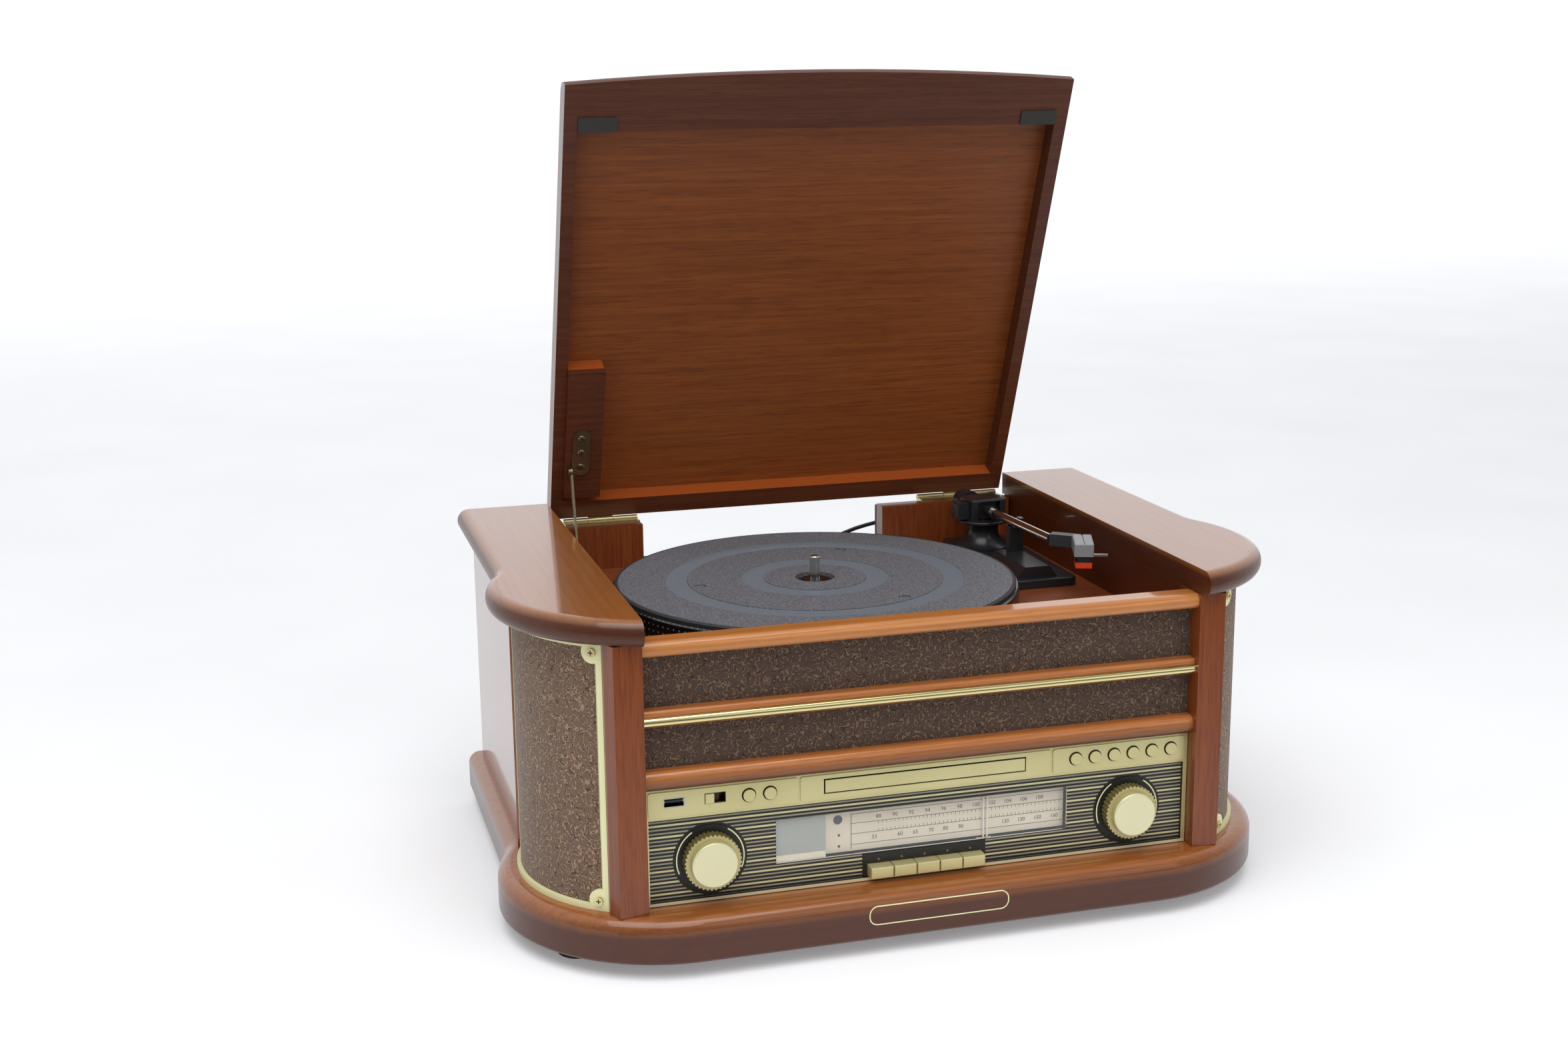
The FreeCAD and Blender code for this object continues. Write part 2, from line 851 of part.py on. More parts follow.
def radial(name, turn, low, radius, length, reach):
    """Rod that points outward from the bulge's centre at a turn and a height."""
    item = rod(name, "z", (f"bulge_x + ({reach}) * cos({turn})",
                           f"bulge_y + ({reach}) * sin({turn})", low), radius, length)
    way = math.radians(number(turn))
    line = FreeCAD.Vector(-math.sin(way), math.cos(way), 0)
    item.Placement.Rotation = FreeCAD.Rotation(line, 90)
    return item


frame_out = "(-grille_inset)"
frame_in = "(-grille_inset - grille_thick)"
frame_start = f"({post_outer} + seat_gap)"
frame_solid = shell("frame_solid", frame_in, frame_out, "0", "post_tall", frame_start, "0")
window = shell("frame_window", f"{frame_in} - 2 * lap", f"{frame_out} + 2 * lap", "grille_band",
               "post_tall - grille_band", f"({frame_start} + grille_post_band)",
               "(-grille_end_band)")
frame_radius = "(bulge_radius - grille_inset)"
boss_turn = f"(-acos(({frame_start} + boss_in - bulge_x) / {frame_radius}))"
boss_levels = ("boss_rise", "(post_tall - boss_rise)")
bosses = [radial("boss", boss_turn, rise, "boss_radius", "4 * grille_thick",
                 f"{frame_radius} - 2 * grille_thick") for rise in boss_levels]
frame_r = cut("grille_frame_r", frame_solid, [cut("frame_opening", window, bosses)])
keep(gather("grille_frames", [frame_r, mirrored("grille_frame_l", frame_r)]))

cloth_out = f"({frame_in} - seat_gap)"
cloth_r = shell("grille_cloth_r", f"({cloth_out} - cloth_thick)", cloth_out, "seat_gap",
                "post_tall - seat_gap", frame_start, "(-seat_gap)")
keep(gather("grille_cloths", [cloth_r, mirrored("grille_cloth_l", cloth_r)]))

heads = [radial("grille_screw", boss_turn, rise, "screw_radius", "screw_head", frame_radius)
         for rise in boss_levels]
screws_r = gather("grille_screws_r", heads)

foot_point = (post_outer, "post_deep")
lean_x = f"({inner_turn[0]} - {foot_point[0]})"
lean_y = f"({inner_turn[1]} - {foot_point[1]})"
lean = f"sqrt({lean_x} ^ 2 + {lean_y} ^ 2)"
face_x, face_n = f"({lean_y} / {lean})", f"(-{lean_x} / {lean})"
baffle_foot = (f"({foot_point[0]} + baffle_thick * {face_n})",
               f"({foot_point[1]} - baffle_thick * {face_x})")
baffle_solid = pad("baffle_solid", "xy", "0", "post_tall", [
    baffle_foot,
    inner_turn,
    (f"({inner_turn[0]} - baffle_thick * {face_x})", f"({inner_turn[1]} - baffle_thick * {face_n})"),
    (f"({baffle_foot[0]} - baffle_thick * {face_x})", f"({baffle_foot[1]} - baffle_thick * {face_n})"),
])
speaker_x = f"(({foot_point[0]} + {inner_turn[0]}) / 2)"
speaker_y = f"(({foot_point[1]} + {inner_turn[1]}) / 2)"


def on_baffle(name, radius, near, far):
    """Disc square to the baffle between two distances in front of it."""
    item = rod(name, "z", (f"{speaker_x} + ({near}) * {face_x}", f"{speaker_y} + ({near}) * {face_n}",
                           "speaker_mid"), radius, f"{far} - ({near})")
    line = FreeCAD.Vector(-number(face_n), number(face_x), 0)
    item.Placement.Rotation = FreeCAD.Rotation(line, 90)
    return item


hole = on_baffle("speaker_opening", "speaker_hole", "-2 * baffle_thick", "baffle_thick")
post_r = cut("post_r", join("post_wood", [post, cleat, baffle_solid]), [hole])
keep(gather("posts", [post_r, mirrored("post_l", post_r)]))
driver_room = f"({speaker_x} - {wall_outer} - baffle_thick)"
basket = f"(baffle_thick + basket_share * {driver_room})"
driver_r = join("driver_r", [
    on_baffle("driver_flange", "flange_radius", "seat_gap", "flange_thick"),
    on_baffle("driver_basket", "speaker_hole - run_gap", f"-{basket}", "flange_thick"),
    on_baffle("driver_magnet", "magnet_radius", f"-{basket} - magnet_share * {driver_room}",
              f"-{basket} + lap"),
])
keep(gather("speaker_drivers", [driver_r, mirrored("driver_l", driver_r)]))

# Front between the posts: top rail, board with its two strips, cloth, brass rod

span = ("-post_inner + seat_gap", "post_inner - seat_gap")
rail = pad("top_rail", "yz", span[0], span[1], [
    ("rail_front", "rail_low"),
    ("rail_rear", "rail_low"),
    ("rail_rear", "post_tall"),
    ("rail_front", "post_tall"),
])


def front_edges(front):
    """Test for the long edges along a front face."""
    y, long = number(back(front)), number("post_inner")
    return lambda b: abs(b.YMin - y) < TINY and abs(b.YMax - y) < TINY and b.XLength > long


rounded(rail, "rail_round", front_edges("rail_front"))
keep(rail)


def strip(name, front, low, high, radius):
    bar = pad(name, "yz", span[0], span[1], [
        (front, low), ("board_front", low), ("board_front", high), (front, high)])
    return rounded(bar, radius, front_edges(front))


ledge_low = "(bezel_high + seat_gap)"
board = box("board", span, ("board_front", "rail_rear"), (ledge_low, "rail_low"))
upper_strip = strip("upper_strip", "strip_front", "strip_low", "strip_high", "strip_round")
ledge = strip("ledge", "ledge_front", ledge_low, "ledge_high", "ledge_round")
groove = rod("groove", "x", (span[0], "strip_front", "rod_rise"), "rod_radius + seat_gap",
             f"{span[1]} - ({span[0]})")
keep(cut("front_board", join("front_wood", [board, upper_strip, ledge]), [groove]))
keep(rod("brass_rod", "x", (span[0], "strip_front", "rod_rise"), "rod_radius",
         f"{span[1]} - ({span[0]})"))
keep(gather("cloth_bands", [
    box("upper_band", span, ("band_front", "board_front"), ("strip_high", "rail_low")),
    box("lower_band", span, ("band_front", "board_front"), ("ledge_high", "strip_low")),
]))

# Gold bezel with three raised fields

bezel_rear = "(bezel_front + bezel_thick)"
field_front = "(bezel_front - field_rise)"
opening_half = "(bezel_half - bezel_rim)"
opening_low = "(bezel_low + bezel_rim - field_rise)"
opening_high = "(field_low - field_rim)"
fields = []
for left, right in ((f"-{opening_half}", "(field_left - field_gap / 2)"),
                    ("(field_left + field_gap / 2)", "(field_right - field_gap / 2)"),
                    ("(field_right + field_gap / 2)", opening_half)):
    field = pad("field", "xz", field_front, "bezel_front + lap", [
        (left, "field_low"), (right, "field_low"), (right, "bezel_high - field_rim"),
        (left, "bezel_high - field_rim")])
    rounded(field, "field_round", lambda b: b.XLength < TINY and b.ZLength < TINY)
    fields.append(field)
plate = box("bezel_plate", ("-bezel_half", "bezel_half"), ("bezel_front", bezel_rear),
            ("bezel_low", "bezel_high"))
through = ("bezel_front - 3 * lap", f"{bezel_rear} + lap")
button_spots = [f"(pair_x + {i} * button_pitch)" for i in range(PAIR)]
button_spots += [f"(row_x + {i} * button_pitch)" for i in range(ROW)]
switch_span = ("switch_left", "switch_left + switch_wide")
usb_span = ("usb_left", "usb_left + usb_wide")
holes = [
    box("panel_opening", (f"-{opening_half}", opening_half), through, (opening_low, opening_high)),
    box("switch_opening", switch_span, through, ("switch_low", "switch_low + switch_tall")),
    box("usb_opening", (f"{usb_span[0]} - seat_gap", f"{usb_span[1]} + seat_gap"), through,
        ("usb_low - seat_gap", "usb_low + usb_tall + seat_gap")),
    box("tray_opening", ("-tray_half - tray_gap", "tray_half + tray_gap"), through,
        ("tray_low - tray_gap", "tray_high + tray_gap")),
]
for spot in button_spots:
    holes.append(rod("button_hole", "y", (spot, through[0], "button_z"), "button_radius + button_gap",
                     f"{through[1]} - ({through[0]})"))
keep(cut("control_bezel", join("bezel_solid", [plate] + fields), holes))

# Black fascia with the discs round the knobs and the raised plate round the keys

fascia_front = f"({bezel_rear} + seat_gap)"
fascia_rear = f"({fascia_front} + fascia_thick)"
fascia_deep = (f"{fascia_front} - 3 * lap", f"{fascia_rear} + lap")
raised = (f"{fascia_front} - disc_rise", f"{fascia_front} + lap")
key_half = f"(key_pitch * {KEYS} / 2)"
knob_spots = ("-knob_x", "knob_x")
fascia_parts = [
    box("fascia_plate", ("-bezel_half", "bezel_half"), (fascia_front, fascia_rear),
        ("bezel_low", "field_low")),
    box("key_plate", ("-key_plate_half", "key_plate_half"), raised,
        (f"{opening_low} + seat_gap", "key_plate_high")),
]
fascia_holes = [
    box("dial_opening", ("-window_half", "window_half"), fascia_deep, ("window_low", "window_high")),
    box("key_opening", (f"-{key_half}", key_half), fascia_deep,
        ("key_low - run_gap", "key_high + run_gap")),
]
for spot in knob_spots:
    fascia_parts.append(rod("knob_disc", "y", (spot, raised[0], "knob_z"), "disc_radius",
                            "disc_rise + lap"))
    fascia_holes.append(rod("stem_opening", "y", (spot, fascia_deep[0], "knob_z"),
                            "stem_radius + 2 * run_gap", f"{fascia_deep[1]} - ({fascia_deep[0]})"))
keep(cut("fascia", join("fascia_solid", fascia_parts), fascia_holes))
keep(box("dial_window", ("-window_half + seat_gap", "window_half - seat_gap"),
         (fascia_front, f"{fascia_front} + window_thick"),
         ("window_low + seat_gap", "window_high - seat_gap")))

# Dial plate, display and the chassis behind the controls

chassis_rear = "(chassis_front + chassis_thick)"
keep(join("dial_plate", [
    box("dial_scale", ("lcd_edge", "window_half"), ("chassis_front - scale_thick", "chassis_front"),
        ("window_low", "window_high")),
    box("display", ("-window_half", "lcd_edge"), (f"{fascia_rear} + seat_gap", "chassis_front"),
        ("window_low", "window_high")),
]))

switch_front = f"({fascia_rear} + button_travel + run_gap)"
track_y = "(chassis_front - carriage_deep / 2)"
track_ends = ("lcd_edge - track_left_over", "window_half + track_right_over")
chassis_parts = [box("chassis_plate", ("-bezel_half + chassis_inset", "bezel_half - chassis_inset"),
                     ("chassis_front", chassis_rear), ("bezel_low", "bezel_high"))]
chassis_parts.append(box("key_switches", (f"-{key_half}", key_half),
                         (f"{fascia_rear} + key_travel + run_gap", "chassis_front + lap"),
                         ("key_low", "key_high")))
for low, high in ((f"{button_spots[0]} - switch_reach", f"{button_spots[1]} + switch_reach"),
                  (f"{button_spots[2]} - switch_reach", f"{button_spots[-1]} + switch_reach"),
                  ("switch_left - slider_lap", "switch_left + switch_wide + slider_lap")):
    chassis_parts.append(box("switch_block", (low, high), (switch_front, "chassis_front + lap"),
                             ("tray_low", "tray_high")))
for spot in ("(-window_half - standoff_out)", "(window_half + standoff_out)"):
    for rise in ("(bezel_low + lap)", f"({opening_high} - standoff_drop)"):
        chassis_parts.append(box("standoff", (f"{spot} - standoff_half", f"{spot} + standoff_half"),
                                 (fascia_rear, "chassis_front + lap"),
                                 (rise, f"{rise} + 2 * standoff_half")))
usb_well_x = ("usb_left + usb_wall", "usb_left + usb_wide - usb_wall")
usb_shell = box("usb_shell", usb_span, (field_front, "chassis_front + usb_wall"),
                ("usb_low", "usb_low + usb_tall"))
usb_well = box("usb_well", usb_well_x, (f"{field_front} - lap", f"{field_front} + usb_deep"),
               ("usb_low + usb_wall", "usb_low + usb_tall - usb_wall"))
chassis_parts.append(cut("usb_case", usb_shell, [usb_well]))
chassis_parts.append(box("usb_tongue", usb_well_x, (f"{field_front} + usb_wall", "chassis_front"),
                         ("usb_low + usb_tall / 2", "usb_low + usb_tall - 3 * usb_wall")))
track_length = f"{track_ends[1]} - ({track_ends[0]})"
chassis_parts.append(rod("pointer_track", "x", (track_ends[0], track_y, "track_z"), "track_radius",
                         track_length))
for end in track_ends:
    chassis_parts.append(box("track_end", (f"{end} - 2 * lap", f"{end} + 2 * lap"),
                             (f"{track_y} - track_radius", "chassis_front + lap"),
                             ("track_z - track_radius", "track_z + track_radius")))
bores = [box("tray_way", ("-tray_half - 2 * lap", "tray_half + 2 * lap"),
             (f"{switch_front} - lap", f"{chassis_rear} + lap"),
             ("tray_low - 2 * lap", "tray_high + 2 * lap"))]
for spot in knob_spots:
    chassis_parts.append(rod("bush", "y", (spot, fascia_rear, "knob_z"), "2 * stem_radius",
                             f"chassis_front + lap - {fascia_rear}"))
    bores.append(rod("bush_bore", "y", (spot, f"{fascia_rear} - lap", "knob_z"),
                     "stem_radius + shaft_gap", f"{chassis_rear} + 2 * lap - {fascia_rear}"))
keep(cut("control_chassis", join("chassis_solid", chassis_parts), bores))

blades = [box("blade", (f"pointer_x + {side} * pointer_pitch / 2 - pointer_blade / 2",
                        f"pointer_x + {side} * pointer_pitch / 2 + pointer_blade / 2"),
              (f"{track_y} - carriage_deep / 2", f"{track_y} - carriage_deep / 2 + pointer_thick"),
              ("track_z", "window_high - lap")) for side in (-1, 1)]
carriage = box("carriage", ("pointer_x - carriage_half", "pointer_x + carriage_half"),
               (f"{track_y} - carriage_deep / 2", "chassis_front - seat_gap"),
               ("track_z - carriage_tall / 2", "track_z + carriage_tall / 2"))
ride = rod("ride", "x", (track_ends[0], track_y, "track_z"), "track_radius + shaft_gap",
           track_length)
keep(cut("dial_pointer", join("pointer_solid", [carriage] + blades), [ride]))


# Knobs: knurled skirt, plain cap and stem

def knob(name, spot):
    skirt_rear = f"({raised[0]} - run_gap)"
    skirt_front = f"({skirt_rear} - skirt_deep)"
    body = doc.addObject("PartDesign::Body", name + "_skirt")
    ring = sketch_on(body, "XZ_Plane", f"-{back(skirt_rear)}")
    rim = ring.addGeometry(Part.Circle(FreeCAD.Vector(0, 0, 0), FreeCAD.Vector(0, 0, 1),
                                       number("skirt_radius")))
    ring.addConstraint(Sketcher.Constraint("Coincident", rim, 3, -1, 1))
    size = ring.addConstraint(Sketcher.Constraint("Radius", rim, number("skirt_radius")))
    ring.setExpression(f"Constraints[{size}]", bind("skirt_radius"))
    drum = body.newObject("PartDesign::Pad", name + "_drum")
    drum.Profile = ring
    drum.setExpression("Length", bind("skirt_deep"))
    notch = sketch_on(body, "XZ_Plane", f"-{back(skirt_front)}")
    bite = notch.addGeometry(Part.Circle(FreeCAD.Vector(0, number("skirt_radius"), 0),
                                         FreeCAD.Vector(0, 0, 1), number("knurl_radius")))
    notch.addConstraint(Sketcher.Constraint("PointOnObject", bite, 3, -2))
    away = notch.addConstraint(Sketcher.Constraint("DistanceY", -1, 1, bite, 3,
                                                   number("skirt_radius")))
    notch.setExpression(f"Constraints[{away}]", bind("skirt_radius"))
    size = notch.addConstraint(Sketcher.Constraint("Radius", bite, number("knurl_radius")))
    notch.setExpression(f"Constraints[{size}]", bind("knurl_radius"))
    doc.recompute()
    flute = body.newObject("PartDesign::Pocket", name + "_flute")
    flute.Profile = notch
    flute.Type = "ThroughAll"
    doc.recompute()
    knurl = body.newObject("PartDesign::PolarPattern", name + "_knurl")
    knurl.Originals = [flute]
    knurl.Axis = (ring, ["N_Axis"])
    knurl.Angle = 360
    knurl.setExpression("Occurrences", bind("knurl_count"))
    body.Tip = knurl
    body.setExpression("Placement.Base.x", bind(spot))
    body.setExpression("Placement.Base.z", bind(up("knob_z")))
    front = turned(name + "_cap", [
        ("0", "0"),
        ("knob_cap_radius", "0"),
        ("knob_cap_radius", "knob_cap_deep - knob_cap_round", "knob_cap_round", 1),
        ("knob_cap_radius - knob_cap_round", "knob_cap_deep"),
        ("0", "knob_cap_deep"),
    ])
    front.Placement.Rotation = FreeCAD.Rotation(FreeCAD.Vector(1, 0, 0), 90)
    put(front, spot, skirt_front, "knob_z")
    stem = rod(name + "_stem", "y", (spot, f"{skirt_rear} - lap", "knob_z"), "stem_radius",
               f"{chassis_rear} + 2 * lap - {skirt_rear}")
    return join(name, [body, front, stem])


keep(knob("volume_knob", knob_spots[0]))
keep(knob("tuning_knob", knob_spots[1]))

# Keys, push buttons and slide switch

for i in range(KEYS):
    left = f"(-{key_half} + {i} * key_pitch + key_gap / 2)"
    right = f"(-{key_half} + {i + 1} * key_pitch - key_gap / 2)"
    key = pad(f"key_{i + 1}", "xz", "key_front", fascia_rear, [
        (left, "key_low"), (right, "key_low"), (right, "key_high"), (left, "key_high")])
    front_line = number(back("key_front"))
    rounded(key, "key_round", lambda b: b.YMax < front_line + TINY)
    keep(key)

flange_front = f"({bezel_rear} + run_gap)"
for i, spot in enumerate(button_spots, 1):
    keep(join(f"button_{i}", [
        rod("button_cap", "y", (spot, "button_front", "button_z"), "button_radius",
            f"{flange_front} + lap - button_front"),
        rod("button_rim", "y", (spot, flange_front, "button_z"), "button_flange",
            "button_flange_deep"),
    ]))

slider_left = "(switch_left + run_gap)"
slider_right = "(switch_left + run_gap + slider_wide)"
keep(join("switch_slider", [
    box("slider_knob", (slider_left, slider_right), ("slider_front", f"{flange_front} + lap"),
        ("switch_low + run_gap", "switch_low + switch_tall - run_gap")),
    box("slider_foot", (f"{slider_left} - slider_lap", f"{slider_right} + slider_lap"),
        (flange_front, f"{flange_front} + button_flange_deep"),
        ("switch_low - lap", "switch_low + switch_tall + lap")),
]))


# Disc drawer and its drive

tray_body_low = "(tray_low + run_gap)"
tray_body_high = f"({tray_body_low} + tray_body_tall)"
tray_rear = "(tray_front + tray_deep)"
tray_solid = join("tray_solid", [
    box("tray_face", ("-tray_half", "tray_half"), ("tray_front", bezel_rear),
        ("tray_low", "tray_high")),
    box("tray_body", ("-tray_body_half", "tray_body_half"), ("tray_front + lap", tray_rear),
        (tray_body_low, tray_body_high)),
])
keep(cut("cd_tray", tray_solid, [
    rod("disc_bed", "z", ("0", "tray_front + disc_well_y", f"{tray_body_low} + tray_floor"),
        "disc_well", "tray_body_tall"),
    box("lens_slot", ("-well_slot_half", "well_slot_half"),
        ("tray_front + disc_well_y - lens_back", f"{tray_rear} - lens_end"),
        (f"{tray_body_low} - lap", f"{tray_body_high} + lap")),
]))
drive_rear = "(drive_front + drive_deep)"
drive_inner = "(tray_body_half + run_gap)"
drive_outer = f"({drive_inner} + drive_wall)"
drive_low = "(tray_low - drive_floor)"
drive_parts = [
    box("drive_floor_plate", (f"-{drive_outer}", drive_outer), ("drive_front", drive_rear),
        (drive_low, "tray_low")),
    box("drive_bridge", (f"-{drive_outer}", drive_outer),
        (f"{drive_rear} - drive_bar_far", f"{drive_rear} - drive_bar_near"),
        ("drive_high - drive_bar_thick", "drive_high")),
]
for side in ("", "-"):
    ends = (f"{side}{drive_inner}", f"{side}{drive_outer}")
    ends = ends if side == "" else (ends[1], ends[0])
    drive_parts.append(box("drive_side", ends, ("drive_front", drive_rear),
                           (drive_low, "drive_high")))
    for start in ("drive_front", f"{drive_rear} - drive_leg"):
        drive_parts.append(box("drive_foot", ends, (start, f"{start} + drive_leg"),
                               ("0", f"{drive_low} + lap")))
keep(join("cd_mechanism", drive_parts))

# Deck, spindle, platter and mat

stay_outer = "(bracket_outer + bracket_thick + 2 * stay_thick)"
stay_x = f"(-{stay_outer} - slot_clear)", "(-bracket_outer + slot_clear)"
deck_solid = box("deck_board", ("-post_inner + seat_gap", "post_inner - seat_gap"),
                 ("rail_rear + seat_gap", f"{wall_rear} - seat_gap"), (deck_low, "deck_top"))
stay_slot = box("stay_slot", stay_x, ("stay_slot_front", "stay_slot_rear"),
                (f"{deck_low} - lap", "deck_top + lap"))
keep(cut("deck", deck_solid, [stay_slot]))

spindle_top = "(mat_high + spindle_rise)"
spindle = turned("spindle", [
    ("0", up("deck_top")),
    ("bearing_radius", up("deck_top")),
    ("bearing_radius", up("deck_top + bearing_flange")),
    ("hub_radius / 2", up("deck_top + bearing_flange")),
    ("hub_radius / 2", up("bearing_high")),
    ("spindle_radius", up("bearing_high")),
    ("spindle_radius", up(f"{spindle_top} - spindle_round"), "spindle_round", 1),
    ("spindle_radius - spindle_round", up(spindle_top)),
    ("0", up(spindle_top)),
])
spindle.setExpression("Placement.Base.x", bind("platter_x"))
spindle.setExpression("Placement.Base.y", bind(back("platter_y")))
keep(spindle)

bore = "(spindle_radius + shaft_gap)"
platter = turned("platter", [
    (bore, up("bearing_high + run_gap")),
    ("hub_radius", up("bearing_high + run_gap")),
    ("hub_radius", up("platter_web")),
    ("platter_radius - platter_rim", up("platter_web")),
    ("platter_radius - platter_rim", up("platter_low")),
    ("platter_radius", up("platter_low")),
    ("platter_radius", up("platter_high - platter_bevel")),
    ("platter_radius - platter_bevel", up("platter_high")),
    ("boss_hub", up("platter_high")),
    ("boss_hub", up("platter_high + boss_hub_rise")),
    (bore, up("platter_high + boss_hub_rise")),
])
ring_floor = up("mat_high - ring_deep")
mat_corners = [
    ("mat_hole", up("platter_high")),
    ("mat_radius", up("platter_high")),
    ("mat_radius", up("mat_high - mat_bevel")),
    ("mat_radius - mat_bevel", up("mat_high")),
]
for ring in ("outer_ring", "inner_ring"):
    mat_corners += [(f"{ring}_far", up("mat_high")), (f"{ring}_far", ring_floor),
                    (f"{ring}_near", ring_floor), (f"{ring}_near", up("mat_high"))]
mat_disc = turned("mat_disc", mat_corners + [("mat_hole", up("mat_high"))])
for item in (platter, mat_disc):
    item.setExpression("Placement.Base.x", bind("platter_x"))
    item.setExpression("Placement.Base.y", bind(back("platter_y")))
dimples = [rod("dimple", "z", (f"platter_x + dimple_reach * cos({turn})",
                               f"platter_y + dimple_reach * sin({turn})", "mat_high - dimple_deep"),
               "dimple_radius", "dimple_deep + lap") for turn in (60, 180, 300)]
keep(platter)
keep(cut("platter_mat", mat_disc, dimples))
transit = rod("transit_screw", "z", ("transit_x", "transit_y", "deck_top"), "transit_radius",
              "transit_rise")
keep(gather("chrome_screws", [screws_r, mirrored("grille_screws_l", screws_r), transit]))

# Record arm: fixed plinth with a flared housing, and the rest on its sloped foot

plinth_top = "(deck_top + plinth_rise)"
arm_slab = pad("arm_slab", "xy", "deck_top", plinth_top, [
    ("plinth_left", "plinth_front"), ("plinth_right", "plinth_front"),
    ("plinth_right", "plinth_rear"), ("plinth_left", "plinth_rear")])
rounded(arm_slab, "plinth_round", upright)
rounded(arm_slab, "plinth_edge", level(plinth_top))
arm_housing = turned("arm_housing", [
    ("0", up(f"{plinth_top} - lap")),
    ("dome_radius", up(f"{plinth_top} - lap")),
    ("dome_radius", up(f"{plinth_top} + dome_lip"), "dome_curve", -1),
    ("housing_radius", up(f"{plinth_top} + dome_lip + dome_rise")),
    ("housing_radius", up("housing_high")),
    ("0", up("housing_high")),
])
arm_housing.setExpression("Placement.Base.x", bind("arm_x"))
arm_housing.setExpression("Placement.Base.y", bind(back("arm_y")))
tube_low = "(arm_z - tube_radius)"
rest_x = "(arm_x + (arm_y - rest_y) * tan(arm_yaw))"
rest_right = f"({rest_x} + tube_radius + run_gap)"
rest_y_span = ("rest_y - rest_deep / 2", "rest_y + rest_deep / 2")
ear_x = "(cue_x + cue_bar / 2 + run_gap)"
foot_left, foot_right = "(plinth_left + rest_foot_left)", "(plinth_left + rest_foot_right)"
foot_top = f"({plinth_top} + rest_foot_rise)"
rest_foot = pad("rest_foot", "xz", "plinth_front + rest_foot_front", "plinth_front + rest_foot_rear", [
    (foot_left, f"{plinth_top} - lap"),
    (foot_right, f"{plinth_top} - lap"),
    (f"{foot_right} - rest_foot_slope", foot_top),
    (f"{foot_left} + rest_foot_slope", foot_top),
])
arm_solid = join("arm_solid", [
    arm_slab,
    arm_housing,
    rest_foot,
    box("rest_post", (f"{rest_x} - rest_wide / 2", f"{rest_right} + horn_thick"), rest_y_span,
        (f"{plinth_top} - lap", f"{tube_low} - run_gap")),
    box("rest_horn", (rest_right, f"{rest_right} + horn_thick"), rest_y_span,
        (f"{tube_low} - 2 * lap", "arm_z + horn_rise")),
    box("cue_ear_right", (ear_x, f"{ear_x} + cue_ear"), ("cue_y - cue_ear", "cue_y + cue_ear"),
        (f"{plinth_top} - lap", "cue_z + cue_ear")),
])
keep(cut("arm_base", arm_solid, [
    rod("housing_bore", "z", ("arm_x", "arm_y", "housing_high - turret_stem - lap"),
        "turret_pin + shaft_gap", "turret_stem + 2 * lap"),
    rod("cue_bore", "x", (f"{ear_x} - lap", "cue_y", "cue_z"), "cue_pin + shaft_gap", "cue_ear + 2 * lap"),
]))


# Pieces of the arm lie along their own minus Y axis and are turned about the pivot

def local_box(name, x, y, z):
    item = doc.addObject("Part::Box", name)
    for side, span_of in (("Length", x), ("Width", y), ("Height", z)):
        item.setExpression(side, bind(f"{span_of[1]} - ({span_of[0]})"))
    item.setExpression("Placement.Base.x", bind(x[0]))
    item.setExpression("Placement.Base.y", bind(y[0]))
    item.setExpression("Placement.Base.z", bind(z[0]))
    return item


def local_rod(name, axis, at, radius, length):
    item = rod(name, axis, ("0", "0", "0"), radius, length)
    for word, text in zip("xyz", at):
        item.setExpression(f"Placement.Base.{word}", bind(text))
    return item


def softened(item, radius, chosen):
    """Round the edges of a solid that a test picks out."""
    doc.recompute()
    soft = doc.addObject("Part::Fillet", item.Name + "_soft")
    soft.Base = item
    size = number(radius)
    soft.Edges = [(i, size, size) for i, edge in enumerate(item.Shape.Edges, 1) if chosen(edge.BoundBox)]
    return soft


def on_arm(item):
    """Turn a piece drawn about the pivot to where the parked arm points."""
    item.Placement.Rotation = FreeCAD.Rotation(FreeCAD.Vector(0, 0, 1), number("arm_yaw"))
    return keep(put(item, "arm_x", "arm_y", "0"))


turret_low = "(housing_high + run_gap)"
turret_high = f"({turret_low} + turret_thick)"
cheek_outer = "(cheek_inner + cheek_thick)"
bridge_low = "(arm_z + gimbal_tall + bridge_gap)"
turret_disc = local_rod("turret_disc", "z", ("0", "0", turret_low), "turret_radius", "turret_thick")
turret_block = local_box("turret_block", (f"-{cheek_outer}", cheek_outer), ("-cheek_half", "cheek_half"),
                         (f"{turret_high} - lap", f"{bridge_low} + bridge_thick"))
block_floor = number(f"{turret_high} - lap") + TINY
side_cap = local_box("side_cap", (f"-{cheek_outer} - side_cap_wide", f"-{cheek_outer} + lap"),
                     ("-side_cap_half", "side_cap_half"),
                     ("arm_z - side_cap_tall / 2", "arm_z + side_cap_tall / 2"))
cap_end = number(f"-{cheek_outer}") - TINY
turret = join("turret_solid", [
    softened(turret_disc, "turret_round", lambda b: b.ZLength < TINY),
    local_rod("turret_stem_pin", "z", ("0", "0", f"{turret_low} - turret_stem"), "turret_pin",
              "turret_stem + lap"),
    softened(turret_block, "cheek_round", lambda b: b.ZMax > block_floor),
    softened(side_cap, "cheek_round", lambda b: b.XMax < cap_end),
])
on_arm(cut("arm_pivot", turret, [
    local_box("gimbal_way", ("-cheek_inner", "cheek_inner"), ("-cheek_half - lap", "cheek_half + lap"),
              (turret_high, bridge_low)),
    local_rod("axle_hole", "x", (f"-{cheek_outer} - lap", "0", "arm_z"), "axle_radius + shaft_gap",
              f"2 * {cheek_outer} + 2 * lap"),
]))

